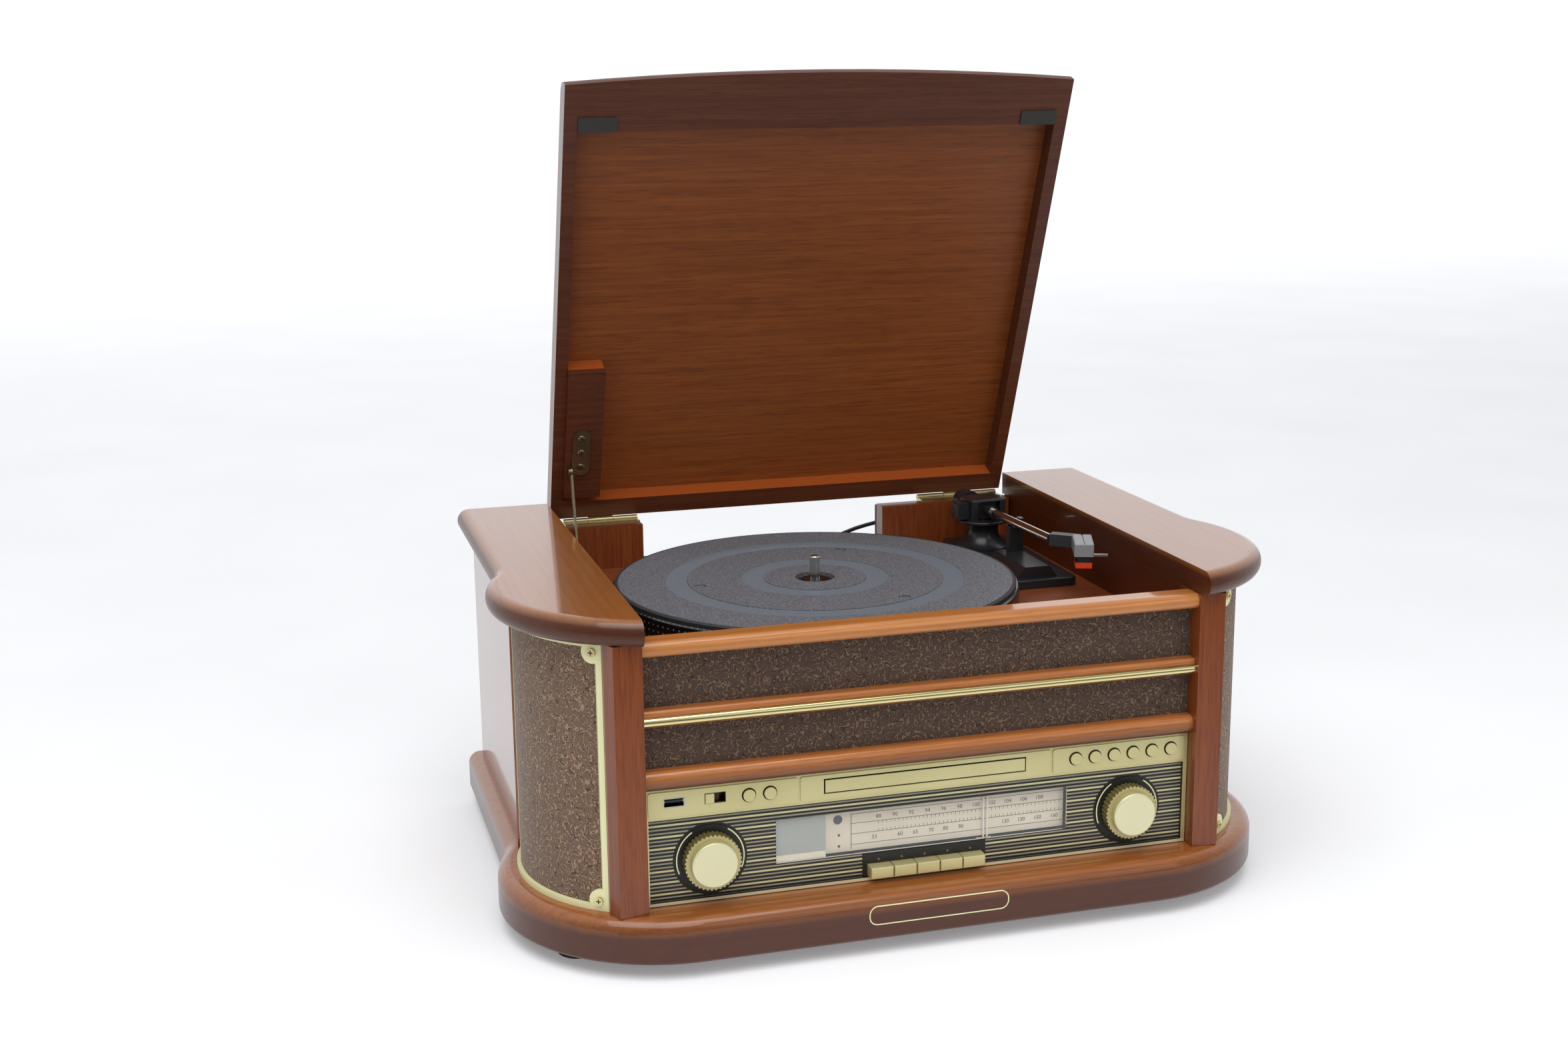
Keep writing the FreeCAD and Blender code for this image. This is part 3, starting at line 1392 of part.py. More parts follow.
on_arm(join("tonearm", [
    local_box("gimbal", ("-gimbal_half", "gimbal_half"), ("-gimbal_half", "gimbal_half"),
              ("arm_z - gimbal_tall", "arm_z + gimbal_tall")),
    local_rod("gimbal_axle", "x", (f"-{cheek_outer}", "0", "arm_z"), "axle_radius",
              f"2 * {cheek_outer}"),
    local_rod("arm_tube", "y", ("0", "-tube_out", "arm_z"), "tube_radius", "tube_out"),
    local_rod("tube_collar", "y", ("0", "-collar_near - collar_long", "arm_z"), "collar_radius",
              "collar_long"),
    local_rod("arm_stub", "y", ("0", "0", "arm_z"), "stub_radius", "weight_near + lap"),
    local_rod("counterweight", "y", ("0", "weight_near", "arm_z"), "weight_radius",
              "weight_far - weight_near"),
]))


def swivelled(item, x, y, turn):
    """Turn a piece about an upright line on the arm and carry it there."""
    item.Placement.Rotation = FreeCAD.Rotation(FreeCAD.Vector(0, 0, 1), number(turn))
    item.setExpression("Placement.Base.x", bind(x))
    item.setExpression("Placement.Base.y", bind(y))
    return item


elbow = gather("elbow", [local_box("elbow_bar", ("-elbow_wide / 2", "elbow_wide / 2"),
                                   ("-elbow_long", "0"),
                                   ("arm_z - elbow_tall / 2", "arm_z + elbow_tall / 2"))])
swivelled(elbow, "0", "-tube_out", "elbow_turn")
head_shell = local_box("head_shell", ("-head_wide / 2", "head_wide / 2"),
                       ("-head_long / 2", "head_long / 2"), ("head_low", "head_high"))
head_floor = number("head_low") + TINY
head_solid = join("head_solid", [
    softened(head_shell, "head_round", lambda b: b.ZMax > head_floor),
    local_box("finger_lift", ("head_wide / 2 - lap", "head_wide / 2 + lift_long"),
              ("-head_long / 2 + lift_back", "-head_long / 2 + lift_back + lift_wide"),
              ("head_low", "head_low + lift_thick")),
])
head = cut("head_grooved", head_solid, [
    local_box("head_groove_cut", ("-head_groove / 2", "head_groove / 2"),
              ("-head_long / 2 - lap", "head_long / 2 + lap"),
              ("head_high - head_groove", "head_high + lap"))])
swivelled(head, "head_side", "-head_out", "head_turn")
socket = local_rod("tube_socket", "y", ("0", "-tube_out", "arm_z"), "tube_radius", "elbow_wide")
on_arm(cut("headshell", join("head_form", [elbow, head]), [socket]))
cartridge_body = local_box("cartridge_body", ("-cartridge_wide / 2", "cartridge_wide / 2"),
                           ("-head_long / 2 + cartridge_back",
                            "-head_long / 2 + cartridge_back + cartridge_long"),
                           ("cartridge_low", "head_low"))
stylus_guard = local_box("stylus_guard", ("-stylus_wide / 2", "stylus_wide / 2"),
                         ("-head_long / 2 + stylus_back", "-head_long / 2 + stylus_back + stylus_long"),
                         ("stylus_low", "cartridge_low"))
guard_top = number("cartridge_low") - TINY
cartridge = join("cartridge_place", [
    cartridge_body,
    softened(stylus_guard, "cartridge_round", lambda b: b.ZMin < guard_top),
])
swivelled(cartridge, "head_side", "-head_out", "head_turn")
on_arm(gather("cartridge", [cartridge]))

keep(join("cue_lever", [
    rod("cue_axle", "x", ("cue_x - cue_bar / 2", "cue_y", "cue_z"), "cue_pin",
        f"{ear_x} + cue_ear - cue_x + cue_bar / 2"),
    box("cue_arm", ("cue_x - cue_bar / 2", "cue_x + cue_bar / 2"),
        ("cue_y - cue_bar / 2", "cue_y + cue_bar / 2"), ("cue_z - cue_bar / 2", "cue_z + cue_reach")),
    rod("cue_grip", "x", ("cue_x - cue_bar / 2", "cue_y", "cue_z + cue_reach"), "cue_knob",
        "cue_knob_long"),
]))

# Hinge blocks, back panel and hinges

block_span = ("block_front", f"{wall_rear} - seat_gap")
keep(gather("hinge_blocks", [
    box("block_left", ("-block_outer", "-block_left_inner"), block_span,
        ("deck_top", "block_high")),
    box("block_right", ("block_right_inner", "block_outer"), block_span,
        ("deck_top", "block_high")),
]))
back_half = f"(side_edge + {inner_skin} - seat_gap)"
panel = box("back_board", (f"-{back_half}", back_half), (wall_rear, panel_rear), ("0", "back_tall"))
notch = box("back_notch", ("-block_left_inner", "block_right_inner"),
            (f"{wall_rear} - lap", f"{panel_rear} + lap"),
            ("notch_floor", "back_tall + lap"))
keep(cut("back_panel", panel, [notch]))


def hinge(name, left, right, fixed):
    """Leaf of a butt hinge. The fixed leaf has the two end knuckles, the other the middle one."""
    third = f"(({right} - ({left})) / 3)"
    edges = [left, f"({left} + {third})", f"({left} + 2 * {third})", right]
    near = "(hinge_y - barrel_radius - barrel_gap)"
    root = "(hinge_z + barrel_radius + barrel_gap)"
    if fixed:
        parts = [(edges[0], f"{edges[1]} - barrel_gap"), (f"{edges[2]} + barrel_gap", edges[3])]
        deep, tall = (f"{near} - leaf_deep", near), ("block_high", "block_high + leaf_thick")
        tongue_deep, tongue_tall = (f"{near} - lap", "hinge_y"), tall
    else:
        parts = [(edges[1], edges[2])]
        deep, tall = ("lid_rear", "lid_rear + leaf_thick"), (root, f"{root} + leaf_tall")
        tongue_deep, tongue_tall = deep, ("hinge_z", f"{root} + lap")
    solids = [box(name + "_plate", (left, right), deep, tall)]
    for start, end in parts:
        solids.append(box(name + "_tongue", (start, end), tongue_deep, tongue_tall))
        solids.append(rod(name + "_knuckle", "x", (start, "hinge_y", "hinge_z"), "barrel_radius",
                          f"{end} - ({start})"))
    leaf_hole = rod(name + "_hole", "x", (f"{left} - lap", "hinge_y", "hinge_z"),
                    "pin_radius + shaft_gap", f"{right} - ({left}) + 2 * lap")
    return cut(name, join(name + "_solid", solids), [leaf_hole])


def opened(item):
    """Swing a piece drawn on the closed lid up about the hinge line to where the lid stands."""
    axis_y, axis_z = back("hinge_y"), up("hinge_z")
    item.setExpression("Placement.Base.y",
                       bind(f"{axis_y} - ({axis_y} * cos(lid_open) + {axis_z} * sin(lid_open))"))
    item.setExpression("Placement.Base.z",
                       bind(f"{axis_z} - ({axis_z} * cos(lid_open) - {axis_y} * sin(lid_open))"))
    item.Placement.Rotation = FreeCAD.Rotation(FreeCAD.Vector(1, 0, 0), -number("lid_open"))
    return keep(item)


leaves = (("leaf_left_outer", "leaf_left_inner"), ("leaf_right_inner", "leaf_right_outer"))
keep(gather("hinge_leaves", [hinge(f"fixed_leaf_{i}", left, right, True)
                             for i, (left, right) in enumerate(leaves, 1)]))
keep(gather("hinge_pins", [rod("hinge_pin", "x", (left, "hinge_y", "hinge_z"), "pin_radius",
                               f"{right} - ({left})") for left, right in leaves]))
opened(gather("lid_leaves", [hinge(f"lid_leaf_{i}", left, right, False)
                             for i, (left, right) in enumerate(leaves, 1)]))

# Lid: bowed front edge with an ovolo, shallow recess below, pads and the stay's block

lid_front = "(-lid_front_over)"
bow_radius = "((lid_half ^ 2 + lid_bow ^ 2) / (2 * lid_bow))"
lid_high = "(lid_low + lid_thick)"
lid_slab = pad("lid_slab", "xy", "lid_low", lid_high, [
    ("-lid_half", lid_front, bow_radius, 1),
    ("lid_half", lid_front),
    ("lid_half", "lid_rear"),
    ("-lid_half", "lid_rear"),
])
lid_top = level(lid_high)
bow_line = number(back(lid_front)) + TINY
rounded(lid_slab, "lid_front_round", lambda b: lid_top(b) and b.YMax < bow_line)
recess_half = "(lid_half - lid_side_rail)"
recess_rear = "(lid_rear - lid_rear_rail)"
recess_front = f"({lid_front} + lid_front_rail)"
recess = box("lid_recess_well", (f"-{recess_half}", recess_half), (recess_front, recess_rear),
             ("lid_low - lap", "lid_low + lid_recess"))
lid_frame = cut("lid_frame", lid_slab, [recess])
pads = [box("lid_pad", ends, (f"{recess_front} - pad_deep", recess_front),
            ("lid_low - pad_thick", "lid_low"))
        for ends in (("pad_inner", "pad_outer"), ("-pad_outer", "-pad_inner"))]
stay_under = "(lid_low - stay_block_drop)"
stay_rear = "(lid_rear - stay_block_rear)"
stay_wood = box("stay_wood", ("-stay_block_outer", "-stay_block_inner"),
                (f"{stay_rear} - stay_block_long", stay_rear), (stay_under, "lid_low + lid_recess"))
opened(join("lid", [lid_frame, stay_wood] + pads))

# Stay: bracket with rivet on the block, flat arm down through the slot in the deck

bracket_low = f"({stay_under} - bracket_thick)"
rivet_y = "(lid_rear - rivet_back)"
rivet_z = "(lid_low - rivet_drop)"
bracket_y = ("lid_rear - bracket_rear - bracket_long", "lid_rear - bracket_rear")
flange_x = ("-bracket_outer", "-bracket_outer + bracket_thick")
arm_near = "(bracket_outer + run_gap / 2)"
arm_far = f"({arm_near} + stay_thick)"
bracket_plate = pad("bracket_plate", "xy", bracket_low, stay_under, [
    ("-bracket_outer", bracket_y[0]), ("-bracket_inner", bracket_y[0]),
    ("-bracket_inner", bracket_y[1]), ("-bracket_outer", bracket_y[1])])
rounded(bracket_plate, "bracket_round", upright)
bracket = join("bracket_solid", [
    bracket_plate,
    box("bracket_wing", flange_x, (f"{rivet_y} - bracket_flange", f"{rivet_y} + bracket_flange / 2"),
        (f"{rivet_z} - rivet_head", stay_under)),
    rod("rivet", "x", (f"-{arm_far} - run_gap / 2 - rivet_reach", rivet_y, rivet_z), "rivet_radius",
        f"{arm_far} + run_gap / 2 + rivet_reach - bracket_outer + bracket_thick"),
    rod("rivet_cap", "x", (f"-{arm_far} - run_gap / 2 - rivet_cap", rivet_y, rivet_z), "rivet_head",
        "rivet_cap"),
])
opened(gather("stay_bracket", [bracket]))
turn_y = f"((lid_rear - rivet_back - hinge_y) * cos(lid_open) + ({rivet_z} - hinge_z) * sin(lid_open))"
turn_z = f"(({rivet_z} - hinge_z) * cos(lid_open) - (lid_rear - rivet_back - hinge_y) * sin(lid_open))"
bar = join("stay_bar", [
    local_box("stay_strip", (f"-{arm_far}", f"-{arm_near}"), ("-stay_half", "stay_half"),
              ("-stay_long", "0")),
    local_rod("stay_eye", "x", (f"-{arm_far}", "0", "0"), "stay_eye", "stay_thick"),
])
stay_hole = local_rod("stay_hole", "x", (f"-{arm_far} - lap", "0", "0"), "rivet_radius + shaft_gap",
                      "stay_thick + 2 * lap")
stay_arm = cut("stay_arm", bar, [stay_hole])
stay_arm.Placement.Rotation = FreeCAD.Rotation(FreeCAD.Vector(1, 0, 0), -number("stay_lean"))
keep(put(stay_arm, "0", f"hinge_y + {turn_y}", f"hinge_z + {turn_z}"))

# Mains lead: gland, free run, put-away coil with its tie, plug

gland_y = panel_rear
relief_end = f"({gland_y} + gland_thick + relief_long)"
gland = turned("cord_gland", [
    ("0", "0"),
    ("gland_radius", "0"),
    ("gland_radius", "gland_thick"),
    ("relief_root", "gland_thick"),
    ("relief_tip", "gland_thick + relief_long"),
    ("0", "gland_thick + relief_long"),
])
gland.Placement.Rotation = FreeCAD.Rotation(FreeCAD.Vector(1, 0, 0), -90)
keep(put(gland, "gland_x", gland_y, "gland_z"))

floor = "(-base_thick - foot_tall)"
coil_low = f"({floor} + tie_thick + tie_gap + cord_radius)"
RUN = [
    ("gland_x", relief_end, "gland_z"),
    ("gland_x", f"{relief_end} + lead_straight", "gland_z"),
    ("gland_x - 16", f"{relief_end} + 32", "gland_z - 2.5"),
    ("gland_x - 56", f"{relief_end} + 29", "gland_z - 9.5"),
    ("gland_x - 86", f"{relief_end} + 30", "gland_z - 27"),
    ("gland_x - 106", f"{relief_end} + 31", "gland_z - 60"),
    ("gland_x - 116", f"{relief_end} + 33", "gland_z - 100"),
    ("gland_x - 122", f"{relief_end} + 37", "gland_z - 139"),
    ("gland_x - 130", f"{relief_end} + 41", f"{coil_low} + 13.65"),
    ("coil_x + lead_landing", "coil_y", coil_low),
    ("coil_x", "coil_y", coil_low),
]
BEND_SHARE = 0.45


def tube(name, edges, start, way):
    """Round cord swept along a run of lines and arcs."""
    circle = Part.Edge(Part.Circle(start, way, number("cord_radius")))
    path = Part.Wire(edges)
    item = doc.addObject("Part::Feature", name)
    item.Shape = path.makePipeShell([Part.Wire([circle])], True, False)
    section = math.pi * number("cord_radius") ** 2
    print(name, "length", round(path.Length, 1), "volume over section times length",
          round(item.Shape.Volume / (section * path.Length), 4))
    return keep(item)


def bend(start, corner, end, share):
    """Arc that rounds a corner, with the points where it leaves the two runs."""
    into, out = (corner - start), (end - corner)
    turn = into.getAngle(out)
    away = share * min(into.Length, out.Length)
    first = corner - into.normalize() * away
    last = corner + out.normalize() * away
    radius = away / math.tan(turn / 2)
    inner = ((first - corner) + (last - corner)).normalize()
    top = corner + inner * (radius / math.cos(turn / 2) - radius)
    return first, top, last, radius


points = [vector(x, back(y), up(z)) for x, y, z in RUN]
edges, here, radii = [], points[0], []
for before, corner, after in zip(points, points[1:], points[2:]):
    first, top, last, radius = bend(before, corner, after, BEND_SHARE)
    edges.append(Part.makeLine(here, first))
    edges.append(Part.Arc(first, top, last).toShape())
    radii.append(round(radius, 1))
    here = last
edges.append(Part.makeLine(here, points[-1]))
print("cord bends", radii)
tube("power_cord", edges, points[0], points[1] - points[0])


def coil_knots():
    """Points a quarter turn apart: in and out again layer by layer, climbing where it reverses."""
    pitch, centre = number("coil_pitch"), number("coil_mean")
    outer = centre + pitch * QUARTERS / 8
    radius, rise, way = outer, 0.0, -1
    steps = [(radius, rise)]
    for layer in range(LAYERS):
        for quarter in range(QUARTERS):
            radius += way * pitch / 4
            steps.append((radius, rise))
        if layer < LAYERS - 1:
            for side in (way, -way):
                radius += side * pitch / 4
                rise += pitch / 2
                steps.append((radius, rise))
        way = -way
    middle_y = number(back("coil_y")) - outer
    knots = []
    for i, (radius, rise) in enumerate(steps):
        turn = math.pi / 2 * (i + 1)
        knots.append(FreeCAD.Vector(number("coil_x") + radius * math.cos(turn),
                                    middle_y + radius * math.sin(turn),
                                    number(up(coil_low)) + rise))
    return knots


def biarc(start, leave, end, arrive):
    """Two arcs that join two points with given directions."""
    gap, both = end - start, leave + arrive
    square = 2 * (1 - leave.dot(arrive))
    reach = (-2 * gap.dot(both) + math.sqrt(4 * gap.dot(both) ** 2 + 4 * square * gap.dot(gap)))
    reach /= 2 * square
    joint = (start + end + (leave - arrive) * reach) * 0.5
    arcs = []
    for first, last, peak in ((start, joint, start + leave * reach),
                              (joint, end, end - arrive * reach)):
        half = (last - first) * 0.5
        turn = (peak - first).getAngle(half)
        top = first + half + (peak - first - half).normalize() * (half.Length * math.tan(turn / 2))
        arcs.append(Part.Arc(first, top, last).toShape())
    return arcs


knots = coil_knots()
ways = [(b - a).normalize() for a, b in zip(knots, knots[2:])]
ways = [FreeCAD.Vector(-1, 0, 0)] + ways + [FreeCAD.Vector(1, 0, 0)]
turns = []
for i in range(len(knots) - 1):
    turns += biarc(knots[i], ways[i], knots[i + 1], ways[i + 1])
turns.append(Part.makeLine(knots[-1], knots[-1] + ways[-1] * number("tail_long")))
tube("cord_coil", turns, knots[0], ways[0])

coil_spread = (QUARTERS + 2) / 8
coil_outer = f"(coil_mean + {coil_spread} * coil_pitch + cord_radius + tie_gap)"
coil_inner = f"(coil_mean - {coil_spread} * coil_pitch - cord_radius - tie_slack)"
coil_mid = "(coil_y - coil_mean - coil_pitch)"
coil_top = f"({coil_low} + {LAYERS - 1} * coil_pitch + cord_radius + tie_gap)"
tie_x = (f"coil_x - {coil_outer}", f"coil_x - {coil_inner}")
tie_y = (f"{coil_mid} - tie_wide / 2", f"{coil_mid} + tie_wide / 2")
strap = box("strap", (f"{tie_x[0]} - tie_thick", f"{tie_x[1]} + tie_thick"), tie_y,
            (floor, f"{coil_top} + tie_thick"))
strap_way = box("strap_way", tie_x, (f"{tie_y[0]} - lap", f"{tie_y[1]} + lap"),
                (f"{floor} + tie_thick", coil_top))
keep(cut("coil_tie", strap, [strap_way]))

plug_radius = f"({coil_low} + {LAYERS - 1} * coil_pitch - {floor})"
plug_y = "(coil_y - 2 * coil_mean - 2 * coil_pitch)"
plug_x = "(coil_x + tail_long)"
plug_z = f"({floor} + {plug_radius})"
plug_body = turned("plug_body", [
    ("0", "0"),
    (f"{plug_radius} - plug_round", "0", "plug_round", 1),
    (plug_radius, "plug_round"),
    (plug_radius, "plug_long"),
    ("0", "plug_long"),
])
plug_body.Placement.Rotation = FreeCAD.Rotation(FreeCAD.Vector(0, 1, 0), 90)
put(plug_body, plug_x, plug_y, plug_z)
prongs = [rod("prong", "x", (f"{plug_x} + plug_long - lap", f"{plug_y} {sign} prong_half", plug_z),
              "prong_radius", "prong_long + lap") for sign in ("+", "-")]
keep(join("plug", [plug_body] + prongs))

# Check every piece and write it out

doc.recompute()
faults = [o.Name for o in doc.Objects if "Invalid" in o.State or "Error" in o.State]
os.makedirs("parts", exist_ok=True)
for item in nodes:
    shape = item.Shape
    if shape.isNull() or not shape.isValid() or shape.Volume < 1:
        faults.append(item.Name)
print(len(nodes), "nodes")
if faults:
    raise RuntimeError("pieces with faults: " + ", ".join(faults))
for item in nodes:
    item.Label = item.Name
    item.Shape.exportStep(f"parts/{item.Name}.step")
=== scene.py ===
# %% [markdown]
# A retro wooden music center: a record player under a lid, a radio with a long dial,
# a disc drawer and two round speaker fronts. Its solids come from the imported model,
# which stays as it is. This lesson gives them their finishes, and models the small
# printed and pressed details that the solids don't carry.

# %% Load the frame
import math
import bpy
from mathutils import Matrix, Vector


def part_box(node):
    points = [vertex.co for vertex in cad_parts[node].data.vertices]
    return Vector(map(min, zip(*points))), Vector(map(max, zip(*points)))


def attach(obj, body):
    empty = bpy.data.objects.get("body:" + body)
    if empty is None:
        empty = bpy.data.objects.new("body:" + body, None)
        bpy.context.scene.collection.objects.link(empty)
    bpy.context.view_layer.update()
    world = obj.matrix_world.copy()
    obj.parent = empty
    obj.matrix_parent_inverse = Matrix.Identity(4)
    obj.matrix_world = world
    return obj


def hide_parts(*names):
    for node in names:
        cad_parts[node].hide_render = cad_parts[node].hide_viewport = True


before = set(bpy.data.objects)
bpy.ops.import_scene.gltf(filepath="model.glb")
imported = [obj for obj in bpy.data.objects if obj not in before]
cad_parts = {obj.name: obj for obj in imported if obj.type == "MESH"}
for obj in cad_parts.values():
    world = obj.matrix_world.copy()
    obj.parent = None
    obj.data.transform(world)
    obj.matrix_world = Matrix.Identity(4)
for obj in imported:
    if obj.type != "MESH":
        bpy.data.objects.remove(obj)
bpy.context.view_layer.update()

MM = 0.001
FACE = -166.227
TOP = 38.0


def place(x, y, z):
    """A point in mm from the middle, the post fronts and the plinth top, as metres in the frame."""
    return Vector((x, y + FACE, z + TOP)) * MM


bpy.ops.object.select_all(action="DESELECT")

# %% [markdown]
# The camera stands where the photographer stood: to the left of the middle, a little
# above the lid's hinge line. Its place and lens were worked out from the straight edges
# of the cabinet, so it is given as angles and a point, and not aimed by eye.

# %% Camera
STAND = (-0.40131, -1.24834, 0.52786)
azimuth, elevation, roll = (math.radians(angle) for angle in (15.89, 12.70, -0.63))
forward = Vector((math.sin(azimuth) * math.cos(elevation),
                  math.cos(azimuth) * math.cos(elevation), -math.sin(elevation)))
level = Vector((math.cos(azimuth), -math.sin(azimuth), 0))
upright = level.cross(forward)
right = level * math.cos(roll) + upright * math.sin(roll)
above = upright * math.cos(roll) - level * math.sin(roll)
bpy.ops.object.camera_add()
camera = bpy.context.object
camera.name = "photo_camera"
camera.matrix_world = Matrix.Translation(STAND) @ Matrix(
    (right, above, -forward)).transposed().to_4x4()
camera.data.sensor_fit = "HORIZONTAL"
camera.data.sensor_width = 36.0
camera.data.lens = 45.13
bpy.context.scene.camera = camera
print("camera", [round(v, 4) for v in camera.location], "lens", camera.data.lens)

# %% [markdown]
# Each finish is a small tree of shader nodes. Colours are written as they look on a
# screen, so one function turns the hex value to the linear numbers that the shader
# reckons with, and one function adds a node with its settings, links and colour stops.
# Most real surfaces are not one flat colour but two close ones, mottled by a fine grain,
# so that recipe is a function too, and the same grain can then give the bump. One more
# function marks off a part of a piece by its place, where one solid has two finishes.

# %% Helpers for the finishes
ABOVE, BELOW = "GREATER_THAN", "LESS_THAN"


def tint(code):
    """Linear red, green, blue and alpha of an sRGB hex colour."""
    parts = [int(code[i:i + 2], 16) / 255 for i in (1, 3, 5)]
    return [p / 12.92 if p <= 0.04045 else ((p + 0.055) / 1.055) ** 2.4 for p in parts] + [1.0]


def outlet(source):
    """The socket that a node gives its result from; anything else as it is."""
    if isinstance(source, bpy.types.Node):
        return next(socket for socket in source.outputs if socket.enabled)
    return source


def add(finish, kind, inputs=None, stops=(), **settings):
    """One shader node, with its settings, its sockets' values or sources, and its colour stops."""
    node = finish.node_tree.nodes.new("ShaderNode" + kind)
    for name, value in settings.items():
        setattr(node, name, value)
    for socket, value in (inputs or {}).items():
        value = outlet(value)
        if isinstance(value, bpy.types.NodeSocket):
            finish.node_tree.links.new(value, node.inputs[socket])
        else:
            node.inputs[socket].default_value = value
    if stops:
        ramp = node.color_ramp.elements
        ramp.remove(ramp[1])
        for i, (position, code) in enumerate(stops):
            stop = ramp[0] if i == 0 else ramp.new(position)
            stop.position = position
            stop.color = tint(code)
    return node


def fresh(name, **sockets):
    """A new finish, its surface shader with the given sockets set, and Object coordinates."""
    finish = bpy.data.materials.new(name)
    finish.use_nodes = True
    shader = finish.node_tree.nodes["Principled BSDF"]
    for socket, value in sockets.items():
        shader.inputs[socket.replace("_", " ")].default_value = value
    return finish, shader, add(finish, "TexCoord").outputs["Object"]


def mottled(finish, where, size, detail, *pairs):
    """A grain of a size in mm, then for each pair of colours the mottle that it gives."""
    grain = add(finish, "TexNoise", {"Vector": where, "Scale": 1 / (size * MM), "Detail": detail})
    return grain, *(add(finish, "ValToRGB", {"Fac": grain}, stops=[(0.3, deep), (0.7, pale)])
                    for deep, pale in pairs)


def zone(finish, where, axis, which, limit):
    """A mask of the points whose place along an axis is above or below a limit in mm."""
    axes = add(finish, "SeparateXYZ", {0: where})
    return add(finish, "Math", {0: axes.outputs[axis], 1: limit * MM}, operation=which)


def join_to(finish, shader, colour=None, height=None, depth=0.0, **sources):
    """Links a finish's colour, bump height (depth in mm) and other sources to its shader."""
    if colour:
        sources["Base_Color"] = colour
    if height:
        sources["Normal"] = add(finish, "Bump", {"Height": height, "Distance": depth * MM,
                                                 "Strength": 1.0})
    for socket, source in sources.items():
        finish.node_tree.links.new(outlet(source), shader.inputs[socket.replace("_", " ")])


def paint(finish, *names):
    """Gives CAD nodes a finish."""
    for name in names:
        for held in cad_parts[name].material_slots:
            held.material = finish
    print(finish.name, "on", ", ".join(names))


# %% [markdown]
# The studio is a white sweep: a pale floor that curves up behind. A large soft light hangs
# over the front and a weaker one stands before it on the right. The paper looks white to
# the camera and in shiny things, as overexposed paper does, and still takes shadows. What
# shiny fronts mirror is the dim room behind the photographer, and tops mirror the white.

# %% Floor, backdrop and light
FLOOR_SIZE, WALL_RISE, SWEEP_RADIUS = 14.0, 6.0, 2.5
AIM = Vector((0, 0, 0.2))


def choose_none(kind):
    """Leaves nothing selected in a mesh, so that points, edges or faces can be selected by place."""
    bpy.ops.object.mode_set(mode="EDIT")
    bpy.ops.mesh.select_mode(type=kind)
    bpy.ops.mesh.select_all(action="DESELECT")
    bpy.ops.object.mode_set(mode="OBJECT")


bpy.ops.mesh.primitive_plane_add(size=FLOOR_SIZE, location=(0, 1.5, 0))
floor = bpy.context.object
floor.name = "studio_sweep"
choose_none("EDGE")
for edge in floor.data.edges:
    edge.select = all(floor.data.vertices[v].co.y > FLOOR_SIZE / 2 - 0.1 for v in edge.vertices)
bpy.ops.object.mode_set(mode="EDIT")
bpy.ops.mesh.extrude_region_move(TRANSFORM_OT_translate={"value": (0, 0, WALL_RISE)})
bpy.ops.object.mode_set(mode="OBJECT")
bevel = floor.modifiers.new("sweep", "BEVEL")
bevel.width, bevel.segments = SWEEP_RADIUS, 20
bpy.ops.object.modifier_apply(modifier="sweep")
bpy.ops.object.shade_smooth()
paper, shader, where = fresh("white_paper_sweep", Roughness=0.9)
shade = mottled(paper, where, 250, 3.0, ("#f3f4f6", "#f7f8fa"))[1]
axes = add(paper, "SeparateXYZ", {0: where})
ray = add(paper, "LightPath")
seen = add(paper, "Math", {0: ray.outputs["Is Camera Ray"], 1: ray.outputs["Is Glossy Ray"]},
           operation="MAXIMUM")
seen = add(paper, "Math", {0: seen, 1: ray.outputs["Is Transmission Ray"]}, operation="MAXIMUM")
rising = add(paper, "MapRange", {"Value": axes.outputs["Y"], "From Min": -1.0, "From Max": 3.0,
                                 "To Min": 0.22, "To Max": 0.69})
glow = add(paper, "Math", {0: seen, 1: rising}, operation="MULTIPLY")
front = add(paper, "MapRange", {"Value": axes.outputs["Y"], "From Min": -1.8, "From Max": -2.3})
dim = add(paper, "Math", {0: ray.outputs["Is Glossy Ray"], 1: front}, operation="MULTIPLY")
colour = add(paper, "Mix", {0: dim, 6: shade, 7: tint("#3c3c3e")}, data_type="RGBA")
join_to(paper, shader, colour, Emission_Color=colour, Emission_Strength=glow)
floor.data.materials.append(paper)

world = bpy.data.worlds.new("studio")
bpy.context.scene.world = world
world.use_nodes = True
backing = world.node_tree.nodes["Background"]
ray = add(world, "LightPath")
seen = add(world, "Math", {0: ray.outputs["Is Camera Ray"], 1: ray.outputs["Is Transmission Ray"]},
           operation="MAXIMUM")
way = add(world, "SeparateXYZ", {0: add(world, "TexCoord").outputs["Generated"]})
room = add(world, "MapRange", {"Value": way.outputs["Y"], "From Min": -0.55, "From Max": 0.1,
                               "To Min": 0.2, "To Max": 1.0})
strength = add(world, "Mix", {0: ray.outputs["Is Glossy Ray"], 2: 0.45, 3: room})
strength = add(world, "Mix", {0: seen, 2: strength, 3: 1.0})
world.node_tree.links.new(outlet(strength), backing.inputs["Strength"])
backing.inputs["Color"].default_value = tint("#fafbfd")

for name, spot, size, power in (("key_light", (-0.5, -1.0, 2.4), 2.2, 44.0),
                                ("fill_light", (1.2, -2.4, 1.3), 1.6, 7.0)):
    bpy.ops.object.light_add(type="AREA", location=spot)
    lamp = bpy.context.object
    lamp.name = name
    lamp.data.size = size
    lamp.data.energy = power
    lamp.rotation_euler = (AIM - Vector(spot)).to_track_quat("-Z", "Y").to_euler()
bpy.context.scene.view_settings.view_transform = "Standard"
